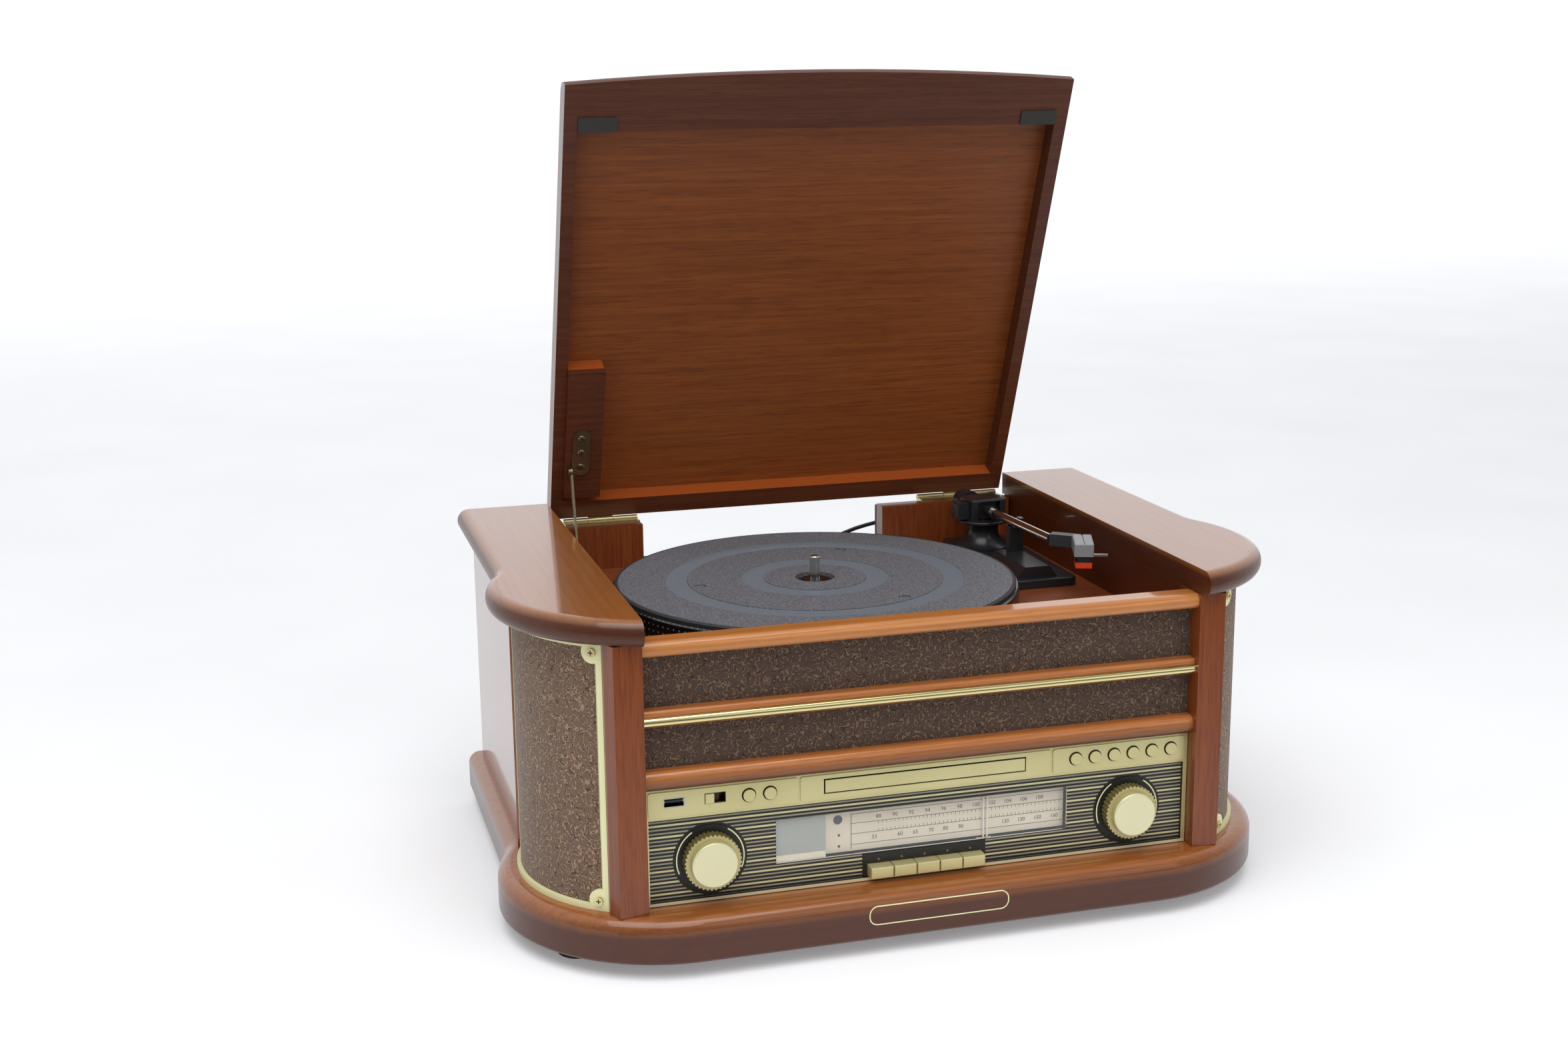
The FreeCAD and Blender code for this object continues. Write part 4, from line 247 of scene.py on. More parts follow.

# %% [markdown]
# The mains lead leaves the back panel through a strain relief, hangs down behind the
# cabinet and ends in a small tied coil with its plug. A lead is one length of something
# flexible, so it is one smooth NURBS curve: its listed points first, then the turns
# of the coil, in and out again layer by layer, and the short tail to the plug.

# %% Mains lead
CORD = 3.2
PITCH = 3.68
MEAN = 17.6
OUTER = MEAN + PITCH
COIL = (-56.0, 394.0 - OUTER, -35.65)
LAYERS = 4
QUARTERS = 8
STEPS = 6
TAIL_STEP = 9
hand_points = [
    (120, 351, 146), (120, 369, 146), (104, 383, 143.5), (64, 380, 136.5), (34, 381, 119),
    (14, 382, 86), (4, 384, 46), (-2, 388, 7), (-10, 392, -22), (-34, 394, -35.65)]
radius, rise, way = OUTER, 0.0, -1
rings = [(radius, rise)]
for layer in range(LAYERS):
    for quarter in range(QUARTERS):
        radius += way * PITCH / 4
        rings.append((radius, rise))
    if layer < LAYERS - 1:
        for side in (way, -way):
            radius += side * PITCH / 4
            rise += PITCH / 2
            rings.append((radius, rise))
    way = -way
coil_points = []
for i in range((len(rings) - 1) * STEPS + 1):
    quarter, part = divmod(i, STEPS)
    (r0, z0), (r1, z1) = rings[quarter], rings[min(quarter + 1, len(rings) - 1)]
    share = part / STEPS
    turn = math.pi / 2 * (i / STEPS + 1)
    r = r0 + (r1 - r0) * share
    coil_points.append((COIL[0] + r * math.cos(turn), COIL[1] + r * math.sin(turn),
                        COIL[2] + z0 + (z1 - z0) * share))
tail = coil_points[-1]
tail_points = [(tail[0] + TAIL_STEP * i, tail[1], tail[2]) for i in (1, 2, 3)]
route = [place(*point) for point in hand_points + coil_points + tail_points]
lead_curve = bpy.data.curves.new("mains_lead", "CURVE")
lead_curve.dimensions = "3D"
spline = lead_curve.splines.new("NURBS")
spline.points.add(len(route) - 1)
for point, spot in zip(spline.points, route):
    point.co = (*spot, 1.0)
    point.radius = CORD / 2 * MM
spline.order_u = 3
spline.use_endpoint_u = True
lead_curve.resolution_u = 4
lead = bpy.data.objects.new("mains_lead", lead_curve)
bpy.context.scene.collection.objects.link(lead)
drawn = bpy.data.meshes.new_from_object(lead)
lead_curve.bevel_depth = 1.0
lead_curve.bevel_resolution = 4
lead_curve.use_fill_caps = True
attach(lead, "cabinet")
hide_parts("power_cord", "cord_coil")

# %% [markdown]
# The cabinet is veneered board stained a red mahogany brown under a thick clear lacquer.
# The eye sees long soft streaks along the grain, fine dark pores, and a smooth wet gloss
# that turns almost white where a surface is seen at a low angle. Noise that is stretched
# along the grain gives the streaks, so the same recipe serves every panel, with the grain
# turned the way that panel was cut. Where a rounded edge turns under, its shade is painted
# into the colour as a dark band along one axis, with less gloss there. The posts' inner
# walls, which lie back, are darker in the same way. The lacquer is the shader's coat, which stays
# smooth.

# %% Stained wood
LACQUER = {"Roughness": 0.38, "Specular_IOR_Level": 0.3, "Coat_Weight": 1.0, "Coat_Roughness": 0.07}
STREAK_WIDE, STREAK_LONG = 3.5, 40
# pores drawn coarser than real ones, so that they show
PORE_WIDE, PORE_LONG = 0.9, 24
PORE_DEEP = 0.05


def along_grain(wood, where, grain, wide, long):
    """Coordinates counted in widths (mm) across the grain and drawn out along it."""
    stretch = [1 / (wide * MM)] * 3
    stretch["xyz".index(grain)] /= long
    return add(wood, "Mapping", {"Vector": where, "Scale": stretch})


def veneer(wood, where, grain, dark, middle, light, pores=0.4):
    """Colour and pore height of a veneer with the grain along one axis."""
    drawn_out = along_grain(wood, where, grain, STREAK_WIDE, STREAK_LONG)
    streak = add(wood, "TexNoise", {"Vector": drawn_out, "Scale": 1.0, "Detail": 6.0,
                                    "Roughness": 0.6, "Distortion": 0.3})
    figure = add(wood, "ValToRGB", {"Fac": streak},
                 stops=[(0.28, dark), (0.50, middle), (0.74, light)])
    drawn_out = along_grain(wood, where, grain, PORE_WIDE, PORE_LONG)
    pore = add(wood, "TexNoise", {"Vector": drawn_out, "Scale": 1.0, "Detail": 2.0})
    pit = add(wood, "ValToRGB", {"Fac": pore}, stops=[(0.36, "#b39a88"), (0.48, "#ffffff")])
    colour = add(wood, "Mix", {0: pores, 6: figure, 7: pit}, data_type="RGBA", blend_type="MULTIPLY")
    return colour, pore


def stained_wood(name, grain, dark, middle, light, gloss=1.0, shade=None, pores=0.4):
    """Lacquered veneer; shade paints shade into the colour: an axis, two places (mm), and colour and
    gloss at the first.
    """
    wood, shader, where = fresh(name, **LACQUER)
    shader.inputs["Coat Weight"].default_value = gloss
    colour, pore = veneer(wood, where, grain, dark, middle, light, pores)
    if shade:
        axis, start, end, deep, duller = shade
        axes = add(wood, "SeparateXYZ", {0: where})
        zero = {"Y": FACE, "Z": TOP}[axis]
        shade_band = add(wood, "MapRange", {"Value": axes.outputs[axis], "From Min": (start + zero) * MM,
                                      "From Max": (end + zero) * MM})
        # a little of the grain shows in the painted shade band too
        some = add(wood, "MapRange", {"Value": shade_band, "To Min": 0.12, "To Max": 1.0})
        colour = add(wood, "Mix", {0: some, 6: tint(deep), 7: colour}, data_type="RGBA")
        wet = add(wood, "MapRange", {"Value": shade_band, "To Min": duller, "To Max": gloss})
        join_to(wood, shader, Coat_Weight=wet)
    join_to(wood, shader, colour, pore, PORE_DEEP)
    return wood


# painted shade on the caps' rounded edges, the ledge's lower edge and the plinth's front edge; the posts
# are darker on their inner walls
paint(stained_wood("lacquered_cap_veneer", "y", "#935625", "#9c5f2b", "#a46630", 1.0,
                   ("Z", 182.0, 186.2, "#3d1508", 0.22), 0.15), "caps")
paint(stained_wood("lacquered_post_veneer", "z", "#763814", "#823f16", "#8b471a", 0.5,
                   ("Y", 30.0, 16.0, "#4a2010", 0.1)), "posts")
paint(stained_wood("lacquered_block", "z", "#6b3114", "#7c3c18", "#8a471f", 0.4), "hinge_blocks")
paint(stained_wood("lacquered_top_rail", "x", "#b56c2e", "#c27b3c", "#cd884a", 1.0,
                   None, 0.2), "top_rail")
paint(stained_wood("lacquered_front_strips", "x", "#ae652b", "#bb7237", "#c67e42", 1.0,
                   ("Z", 77.0, 86.0, "#3f1a0b", 0.5), 0.25), "front_board")
paint(stained_wood("lacquered_plinth", "x", "#935325", "#9f5d2a", "#aa6831", 0.8,
                   ("Z", -11.0, -0.4, "#3c130a", 0.45), 0.25), "base_plinth")
paint(stained_wood("lacquered_side_veneer", "z", "#783c20", "#844526", "#8e4e2c"), "side_panels")
paint(stained_wood("lacquered_deck_board", "x", "#783a1b", "#844422", "#8f4d27", 0.5), "deck")

# %% [markdown]
# The lid is a veneered panel in a darker frame, with two felt pads under its front rail.
# The panel is paler towards the hinge. The wall of its recess there faces up, and light
# from above is painted on it as a warm orange. The outside is finished like the caps. The
# lid is one solid that stands open, so its finish is reckoned in the shut lid's place: the
# mapping turns the coordinates back about the hinge line, and height and place then tell
# panel, frame, wall, outside and pads apart.

# %% Lid veneer
HINGE = (334.0, 170.6)
OPEN = 67.9
# heights, depths and half widths in the shut lid, in mm from the middle of the hinge line
PAD_TOP, PAD_BACK = 0.9, -305.0
FRAME_TOP, RECESS_TOP, OUTSIDE = 1.3, 13.6, 15.2
WALL_FRONT, WALL_HALF, FLANK = -135.0, 169.0, 178.0
DEEP_END, PALE_END = -190.0, -15.0
INSIDE_GLOSS = 0.25
lid_wood, shader, where = fresh("lacquered_lid_veneer", Roughness=0.5, Specular_IOR_Level=0.2,
                                Coat_Roughness=0.3)
shut = add(lid_wood, "Mapping", {"Vector": where, "Location": place(0, *HINGE),
                                 "Rotation": (math.radians(-OPEN), 0, 0)}, vector_type="TEXTURE")
panel, pore = veneer(lid_wood, shut, "x", "#723c19", "#7f441d", "#8b4e23")
rail = veneer(lid_wood, shut, "x", "#4d2413", "#562c18", "#60341e")[0]
crown = veneer(lid_wood, shut, "x", "#8f5122", "#985a28", "#a1622e", 0.15)[0]
axes = add(lid_wood, "SeparateXYZ", {0: shut})
side = add(lid_wood, "Math", {0: axes.outputs["X"]}, operation="ABSOLUTE")
inside = zone(lid_wood, shut, "Z", ABOVE, RECESS_TOP)
colour = add(lid_wood, "Mix", {0: inside, 6: rail, 7: panel}, data_type="RGBA")
lighter = add(lid_wood, "MapRange", {"Value": axes.outputs["Y"], "From Min": DEEP_END * MM,
                                     "From Max": PALE_END * MM, "To Min": 1.0, "To Max": 1.4})
colour = add(lid_wood, "HueSaturation", {"Color": colour, "Value": lighter})
low = zone(lid_wood, shut, "Z", ABOVE, FRAME_TOP)
lit_wall = add(lid_wood, "Math", {0: low, 1: inside}, operation="SUBTRACT")
core = zone(lid_wood, shut, "Y", ABOVE, WALL_FRONT)
lit_wall = add(lid_wood, "Math", {0: lit_wall, 1: core}, operation="MULTIPLY")
core = add(lid_wood, "Math", {0: side, 1: WALL_HALF * MM}, operation=BELOW)
lit_wall = add(lid_wood, "Math", {0: lit_wall, 1: core}, operation="MULTIPLY")
# painted light: the recess wall by the hinge faces up and is painted a lit warm orange
colour = add(lid_wood, "Mix", {0: lit_wall, 6: colour, 7: tint("#a9521f")}, data_type="RGBA")
outer = zone(lid_wood, shut, "Z", ABOVE, OUTSIDE)
colour = add(lid_wood, "Mix", {0: outer, 6: colour, 7: crown}, data_type="RGBA")
under = zone(lid_wood, shut, "Z", BELOW, PAD_TOP)
ahead = zone(lid_wood, shut, "Y", BELOW, PAD_BACK)
pad = add(lid_wood, "Math", {0: under, 1: ahead}, operation="MULTIPLY")
colour = add(lid_wood, "Mix", {0: pad, 6: colour, 7: tint("#3a3a37")}, data_type="RGBA")
dry = add(lid_wood, "Math", {0: 1.0, 1: pad}, operation="SUBTRACT")
wet = add(lid_wood, "Math", {0: dry, 1: INSIDE_GLOSS}, operation="MULTIPLY")
flank = add(lid_wood, "Math", {0: side, 1: FLANK * MM}, operation=ABOVE)
wet = add(lid_wood, "Math", {0: wet, 1: flank}, operation="MAXIMUM")
wet = add(lid_wood, "Math", {0: wet, 1: outer}, operation="MAXIMUM")
join_to(lid_wood, shader, colour, pore, PORE_DEEP, Coat_Weight=wet)
paint(lid_wood, "lid")

# %% [markdown]
# The back panel is plain dark fibreboard: pressed, not lacquered, with a faint mottle.
# The board has no direction, so a plain noise gives both the mottle and the rough surface.

# %% Fibreboard
board, shader, where = fresh("dark_fibreboard", Roughness=0.75)
fibres, tone = mottled(board, where, 1.5, 4.0, ("#2b1d16", "#3d2a20"))
join_to(board, shader, tone, fibres, 0.08)
paint(board, "back_panel")

# %% [markdown]
# The speaker cloth is a brown weave scattered with short light and dark squiggles, a
# common pattern of old radio cloth. A squiggle is a bit of a contour line: where a noise
# passes through one level there is a thin winding line, and a second noise cuts that line
# into short bits. The dark line runs along a level next to the pale one's, so the two lie
# side by side. Fine threads lie underneath and give the bump.

# %% Speaker cloth
# threads drawn coarser than real ones, so that they show
THREAD = 0.55
SQUIGGLE = 2.5


def squiggle(cloth, where, size, level, width):
    """A mask of short winding lines, about size mm apart, along one level of a noise."""
    wind = add(cloth, "TexNoise", {"Vector": where, "Scale": 1 / (size * MM), "Detail": 0.0})
    off = add(cloth, "Math", {0: wind, 1: level}, operation="SUBTRACT")
    near = add(cloth, "Math", {0: off}, operation="ABSOLUTE")
    line = add(cloth, "Math", {0: near, 1: width}, operation=BELOW)
    chop = add(cloth, "TexNoise", {"Vector": where, "Scale": 1.3 / (size * MM), "Detail": 0.0})
    bit = add(cloth, "Math", {0: chop, 1: 0.46}, operation=ABOVE)
    return add(cloth, "Math", {0: line, 1: bit}, operation="MULTIPLY")


def speaker_cloth(name, dark, base, light):
    """Woven cloth with light and dark squiggles."""
    cloth, shader, where = fresh(name, Roughness=0.85, Sheen_Weight=0.2, Sheen_Roughness=0.5)
    weave = add(cloth, "TexNoise", {"Vector": where, "Scale": 1 / (THREAD * MM), "Detail": 1.0})
    thread = add(cloth, "ValToRGB", {"Fac": weave}, stops=[(0.1, dark), (0.5, base)])
    pale = squiggle(cloth, where, SQUIGGLE, 0.5, 0.06)
    deep = squiggle(cloth, where, SQUIGGLE, 0.61, 0.05)
    colour = add(cloth, "Mix", {0: deep, 6: thread, 7: tint(dark)}, data_type="RGBA")
    colour = add(cloth, "Mix", {0: pale, 6: colour, 7: tint(light)}, data_type="RGBA")
    join_to(cloth, shader, colour, weave, 0.25)
    return cloth


paint(speaker_cloth("woven_speaker_cloth", "#49362a", "#765d4b", "#a5886a"), "grille_cloths")
paint(speaker_cloth("woven_front_cloth", "#30231b", "#4e3b30", "#7a614b"), "cloth_bands")

# %% [markdown]
# Bezel, knobs, keys, buttons and speaker frames are moulded plastic with a sprayed
# champagne gold coat: a soft metallic sheen with a very fine sparkle. Shade is painted in
# the gaps behind an edge: past a depth the coat turns dark, and on the knobs the side and
# the skirt step darker. Behind the tray's front the dark is its black body, and in the gap
# round it painted shade. A highlight is painted on the bezel's lower lip. The rod across the
# front is drawn brass, polished along its length.

# %% Gold plastic and brass
# flakes drawn coarser than real ones, so that they show
FLAKE, CLOUD = 0.6, 60


def gold_coat(name, deep, pale, roughness, metallic, shaded=(), lip=None):
    """Sprayed metallic coat; shaded holds depths past which shade is painted, and lip a height below
    which a highlight is painted (mm), each with a colour.
    """
    coat, shader, where = fresh(name, Roughness=roughness, Metallic=metallic)
    flake = add(coat, "TexNoise", {"Vector": where, "Scale": 1 / (FLAKE * MM), "Detail": 2.0})
    cloud = add(coat, "TexNoise", {"Vector": where, "Scale": 1 / (CLOUD * MM), "Detail": 2.0})
    both = add(coat, "Mix", {0: 0.4, 2: cloud, 3: flake})
    colour = add(coat, "ValToRGB", {"Fac": both}, stops=[(0.35, deep), (0.65, pale)])
    # painted highlight below the lip's height
    if lip:
        height, code = lip
        below = zone(coat, where, "Z", BELOW, height + TOP)
        colour = add(coat, "Mix", {0: below, 6: colour, 7: tint(code)}, data_type="RGBA")
    # painted shade in the gaps behind each depth
    for depth, code in shaded:
        behind = zone(coat, where, "Y", ABOVE, depth + FACE)
        colour = add(coat, "Mix", {0: behind, 6: colour, 7: tint(code)}, data_type="RGBA")
    join_to(coat, shader, colour, flake, 0.01)
    return coat


grille_gold = gold_coat("sprayed_gold_frame", "#f1efb8", "#f7f4c4", 0.4, 0.05)
paint(grille_gold, "grille_frames")
# painted shade in the panel's gaps and hole walls, and a painted highlight on its lower lip
paint(gold_coat("sprayed_gold_panel", "#d3c991", "#ded59f", 0.34, 0.45, [(10.9, "#383120")],
                (2.4, "#f6f0cc")), "control_bezel", "switch_slider")
# behind the tray's front: its black body, and painted shade in the gap round it
paint(gold_coat("sprayed_gold_tray", "#d3c991", "#ded59f", 0.34, 0.45, [(9.9, "#1f1e1d")]), "cd_tray")
# painted shade in the ring round each button
paint(gold_coat("sprayed_gold_button", "#d3c991", "#ded59f", 0.32, 0.4, [(9.3, "#383120")]),
      *(f"button_{i}" for i in range(1, 9)))
# painted shade: the knob's side and its skirt step darker behind the face
paint(gold_coat("sprayed_gold_knob", "#e2ddb2", "#ece8c0", 0.3, 0.25,
                [(0.7, "#c2b882"), (4.6, "#857a4a")]), "volume_knob", "tuning_knob")
paint(gold_coat("sprayed_gold_key", "#cfc48b", "#dacf98", 0.34, 0.4),
      *(f"key_{i}" for i in range(1, 6)))

brass, shader, where = fresh("polished_brass_rod", Roughness=0.16, Metallic=1.0)
pull = add(brass, "Mapping", {"Vector": where, "Scale": (8.0, 1 / (0.4 * MM), 1 / (0.4 * MM))})
scratch = add(brass, "TexNoise", {"Vector": pull, "Scale": 1.0, "Detail": 3.0})
tone = add(brass, "ValToRGB", {"Fac": scratch}, stops=[(0.3, "#dacd8c"), (0.7, "#ebe2ae")])
join_to(brass, shader, tone, scratch, 0.004)
paint(brass, "brass_rod")

# %% [markdown]
# The fascia is a black plate printed with level lines: one gold, two grey, one gold,
# each 2.45 mm from the next. The discs round the knobs and the plate over the keys stay
# black. The lines are a repeat of the height, so a colour ramp with hard steps draws them.

# %% Striped fascia
LINE_PITCH = 2.45
GOLD_LINE = 14.25
KNOB = (138.7, 27.0)
DISC = 23.4
PLATE_HALF = 41.05
PLATE_TOP = 17.4
fascia, shader, where = fresh("printed_black_fascia", Roughness=0.4, Specular_IOR_Level=0.4)
axes = add(fascia, "SeparateXYZ", {0: where})
bottom = (GOLD_LINE - LINE_PITCH * 0.25 + TOP) * MM
height = add(fascia, "Math", {0: axes.outputs["Z"], 1: bottom}, operation="SUBTRACT")
cycle = add(fascia, "Math", {0: height, 1: 3 * LINE_PITCH * MM}, operation="DIVIDE")
cycle = add(fascia, "Math", {0: cycle, 1: 8.0}, operation="ADD")
cycle = add(fascia, "Math", {0: cycle}, operation="FRACT")
ink = add(fascia, "ValToRGB", {"Fac": cycle}, stops=[
    (0.0, "#d8d0a0"), (0.17, "#23211c"), (0.35, "#a09c88"), (0.48, "#23211c"),
    (0.68, "#a09c88"), (0.81, "#23211c")])
ink.color_ramp.interpolation = "CONSTANT"
side = add(fascia, "Math", {0: axes.outputs["X"]}, operation="ABSOLUTE")
across = add(fascia, "Math", {0: side, 1: KNOB[0] * MM}, operation="SUBTRACT")
over = add(fascia, "Math", {0: axes.outputs["Z"], 1: (KNOB[1] + TOP) * MM}, operation="SUBTRACT")
flat = add(fascia, "CombineXYZ", {"X": across, "Z": over})
reach = add(fascia, "VectorMath", {0: flat}, operation="LENGTH")
disc = add(fascia, "Math", {0: reach, 1: DISC * MM}, operation=BELOW)
inside = add(fascia, "Math", {0: side, 1: PLATE_HALF * MM}, operation=BELOW)
under = zone(fascia, where, "Z", BELOW, PLATE_TOP + TOP)
plate = add(fascia, "Math", {0: inside, 1: under}, operation="MULTIPLY")
unprinted = add(fascia, "Math", {0: disc, 1: plate}, operation="MAXIMUM")
colour = add(fascia, "Mix", {0: unprinted, 6: ink, 7: tint("#22211f")}, data_type="RGBA")
grit = mottled(fascia, where, 0.5, 2.0)[0]
join_to(fascia, shader, colour, grit, 0.01)
paint(fascia, "fascia")

# %% [markdown]
# Behind a clear acrylic window lie the beige dial card and, at its left end, the grey
# display. Both are one piece, so the place along the dial picks the colour. The window
# lets the lamps' light through to the card, as thin clear plastic does.

# %% Dial card, display and window
DISPLAY_END = -64.4
DISPLAY_LOW = 22.0
dial, shader, where = fresh("printed_dial_card", Roughness=0.55)
tooth, card, glass = mottled(dial, where, 0.8, 3.0, ("#e7dcc6", "#efe5d0"), ("#a9ada7", "#b1b5af"))
left = zone(dial, where, "X", BELOW, DISPLAY_END)
high = zone(dial, where, "Z", ABOVE, DISPLAY_LOW + TOP)
pane = add(dial, "Math", {0: left, 1: high}, operation="MULTIPLY")
colour = add(dial, "Mix", {0: pane, 6: card, 7: glass}, data_type="RGBA")
join_to(dial, shader, colour, tooth, 0.004)
paint(dial, "dial_plate")

acrylic, shader, where = fresh("clear_acrylic_window", Roughness=0.03, IOR=1.49, Transmission_Weight=1.0)
wave, clear = mottled(acrylic, where, 40, 2.0, ("#fbfbfa", "#ffffff"))
join_to(acrylic, shader, clear, wave, 0.01)
ray = add(acrylic, "LightPath")
lets = add(acrylic, "BsdfTransparent")
both = add(acrylic, "MixShader", {0: ray.outputs["Is Shadow Ray"], 1: shader, 2: lets})
surface = acrylic.node_tree.nodes["Material Output"].inputs["Surface"]
acrylic.node_tree.links.new(outlet(both), surface)
paint(acrylic, "dial_window")

needle, shader, where = fresh("white_pointer_plastic", Roughness=0.4)
join_to(needle, shader, mottled(needle, where, 1.0, 2.0, ("#e9e4da", "#f3efe7"))[1])
paint(needle, "dial_pointer")

# %% [markdown]
# Everything black is moulded plastic or rubber: the arm base and turret have a satin
# moulded skin, the feet, plug and lead are softer and duller. They differ only in gloss
# and in how coarse the skin is, so one recipe makes them all.

# %% Black plastic and rubber


def moulded(name, deep, pale, roughness, grit, depth):
    """Moulded plastic or rubber with a fine skin."""
    skin, shader, where = fresh(name, Roughness=roughness)
    grain, tone = mottled(skin, where, grit, 3.0, (deep, pale))
    join_to(skin, shader, tone, grain, depth)
    return skin


lead_black = moulded("black_pvc_lead", "#161616", "#212121", 0.5, 1.2, 0.02)
lead.data.materials.append(lead_black)
paint(lead_black, "cord_gland", "plug", "coil_tie")
paint(moulded("moulded_black_abs", "#1b1b1d", "#28282b", 0.3, 0.7, 0.015),
      "arm_base", "arm_pivot", "cd_mechanism")
paint(moulded("black_rubber", "#1c1b1b", "#272626", 0.7, 0.9, 0.04), "rubber_feet", "speaker_drivers")

# %% [markdown]
# Some pieces are two materials in one solid: the arm is a chromed tube with a black collar
# and counterweight, the head is grey with a dark elbow and a silver finger lift, the lever
# has a chromed tip, and the socket on the chassis has a steel shell. Each is told apart by
# where it lies, and on the arm by its place along the tube, so the mapping turns the
# coordinates to the arm's own.

# %% Two-material pieces
PIVOT = (138.0, 266.0)
YAW = 3.9
COLLAR_END = -19.0
HEAD = (9.6, -139.0)
HEAD_TURN = -25.0
HEAD_HALF = (6.95, 15.2)
LEVER_TIP = 160.0
SOCKET = (-161.25, 66.45)
SHELL_INNER, SHELL_OUTER = (5.7, 2.2), (6.7, 3.1)
BLACK, CHROME = ("#1b1b1d", "#2a2a2d"), ("#c4c4c4", "#d6d6d6")


def two_parts(name, finish, shader, where, mask, plastic, bright):
    """Plastic where the mask is 0 and metal where it is 1, each with its pair of colours."""
    grain, dull, shiny = mottled(finish, where, 0.8, 2.0, plastic, bright)
    colour = add(finish, "Mix", {0: mask, 6: dull, 7: shiny}, data_type="RGBA")
    sheen = add(finish, "MapRange", {"Value": mask, "To Min": 0.32, "To Max": 0.12})
    join_to(finish, shader, colour, grain, 0.006, Metallic=mask, Roughness=sheen)
    paint(finish, name)


def on_arm(finish, where):
    """Coordinates from the arm's pivot, turned so that the tube runs along Y."""
    return add(finish, "Mapping", {"Vector": where, "Location": place(*PIVOT, 0),
                                   "Rotation": (0, 0, math.radians(YAW))}, vector_type="TEXTURE")


tube, shader, where = fresh("chrome_tube_black_weight")
mask = zone(tube, on_arm(tube, where), "Y", BELOW, COLLAR_END)
two_parts("tonearm", tube, shader, where, mask, BLACK, CHROME)

lever, shader, where = fresh("black_lever_chrome_tip")
mask = zone(lever, where, "Z", ABOVE, LEVER_TIP + TOP)
two_parts("cue_lever", lever, shader, where, mask, BLACK, CHROME)

head, shader, where = fresh("grey_head_silver_lift", Roughness=0.4)
near = add(head, "Mapping", {"Vector": on_arm(head, where), "Location": (HEAD[0] * MM, HEAD[1] * MM, 0),
                             "Rotation": (0, 0, math.radians(HEAD_TURN))}, vector_type="TEXTURE")
lift = zone(head, near, "X", ABOVE, HEAD_HALF[0])
elbow = zone(head, near, "Y", ABOVE, HEAD_HALF[1])
beside = zone(head, near, "X", BELOW, -HEAD_HALF[0])
elbow = add(head, "Math", {0: elbow, 1: beside}, operation="MAXIMUM")
grain, grey, dark = mottled(head, where, 0.8, 2.0, ("#8a8b8e", "#999a9d"), ("#2c2c2e", "#3a3a3c"))
colour = add(head, "Mix", {0: elbow, 6: grey, 7: dark}, data_type="RGBA")
colour = add(head, "Mix", {0: lift, 6: colour, 7: tint("#c9c9c9")}, data_type="RGBA")
join_to(head, shader, colour, grain, 0.006, Metallic=lift)
paint(head, "headshell")

chassis, shader, where = fresh("black_chassis_steel_socket")
axes = add(chassis, "SeparateXYZ", {0: where})
offsets = []
for axis, middle in (("X", SOCKET[0]), ("Z", SOCKET[1] + TOP)):
    off = add(chassis, "Math", {0: axes.outputs[axis], 1: middle * MM}, operation="SUBTRACT")
    offsets.append(add(chassis, "Math", {0: off}, operation="ABSOLUTE"))
past = [add(chassis, "Math", {0: off, 1: half * MM}, operation=ABOVE)
        for off, half in zip(offsets, SHELL_INNER)]
shell = add(chassis, "Math", {0: past[0], 1: past[1]}, operation="MAXIMUM")
for off, half in zip(offsets, SHELL_OUTER):
    near = add(chassis, "Math", {0: off, 1: half * MM}, operation=BELOW)
    shell = add(chassis, "Math", {0: shell, 1: near}, operation="MULTIPLY")
two_parts("control_chassis", chassis, shader, where, shell,
          ("#1b1b1d", "#26262a"), ("#b4b4b0", "#c8c8c4"))

# %% [markdown]
# The cartridge is a black moulded body with an orange red stylus guard under its nose.
# They are one piece, and the guard is its lowest part, so the height picks the colour.

# %% Cartridge
GUARD_TALL = 4.4
cartridge, shader, where = fresh("black_cartridge_red_guard", Roughness=0.4)
grain, black, red = mottled(cartridge, where, 0.8, 2.0, ("#222224", "#303032"), ("#dd4019", "#ea5022"))
low = zone(cartridge, where, "Z", BELOW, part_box("cartridge")[0].z / MM + GUARD_TALL)
colour = add(cartridge, "Mix", {0: low, 6: black, 7: red}, data_type="RGBA")
join_to(cartridge, shader, colour, grain, 0.01)
paint(cartridge, "cartridge")

# %% [markdown]
# The mat is moulded rubber with a speckled top, two smoother rings and a dark lip. The
# rings' lighter blue grey is a painted sheen. The platter under it is black enamel, and its
# rim carries rows of pale dots. Both patterns go round the spindle, so they are reckoned
# from the distance and the angle round it.

# %% Mat and platter
SPINDLE = (-27.2, 157.0)
MAT_REACH, MAT_LIP = 140.0, 133.5
RINGS = (34.8, 50.3, 86.5, 101.3)
RIM_INNER = 137.2
DOTS, DOT_ROW, DOT_SIZE = 180, 4.2, 0.15
centre = place(*SPINDLE, 0)


def round_spindle(finish, where):
    """Coordinates from the spindle, and the distance from it."""
    shift = add(finish, "Mapping", {"Vector": where, "Location": (-centre.x, -centre.y, 0.0)})
    axes = add(finish, "SeparateXYZ", {0: shift})
    flat = add(finish, "CombineXYZ", {"X": axes.outputs["X"], "Y": axes.outputs["Y"]})
    return axes, add(finish, "VectorMath", {0: flat}, operation="LENGTH")


mat, shader, where = fresh("speckled_mat_rubber")
reach = round_spindle(mat, where)[1]
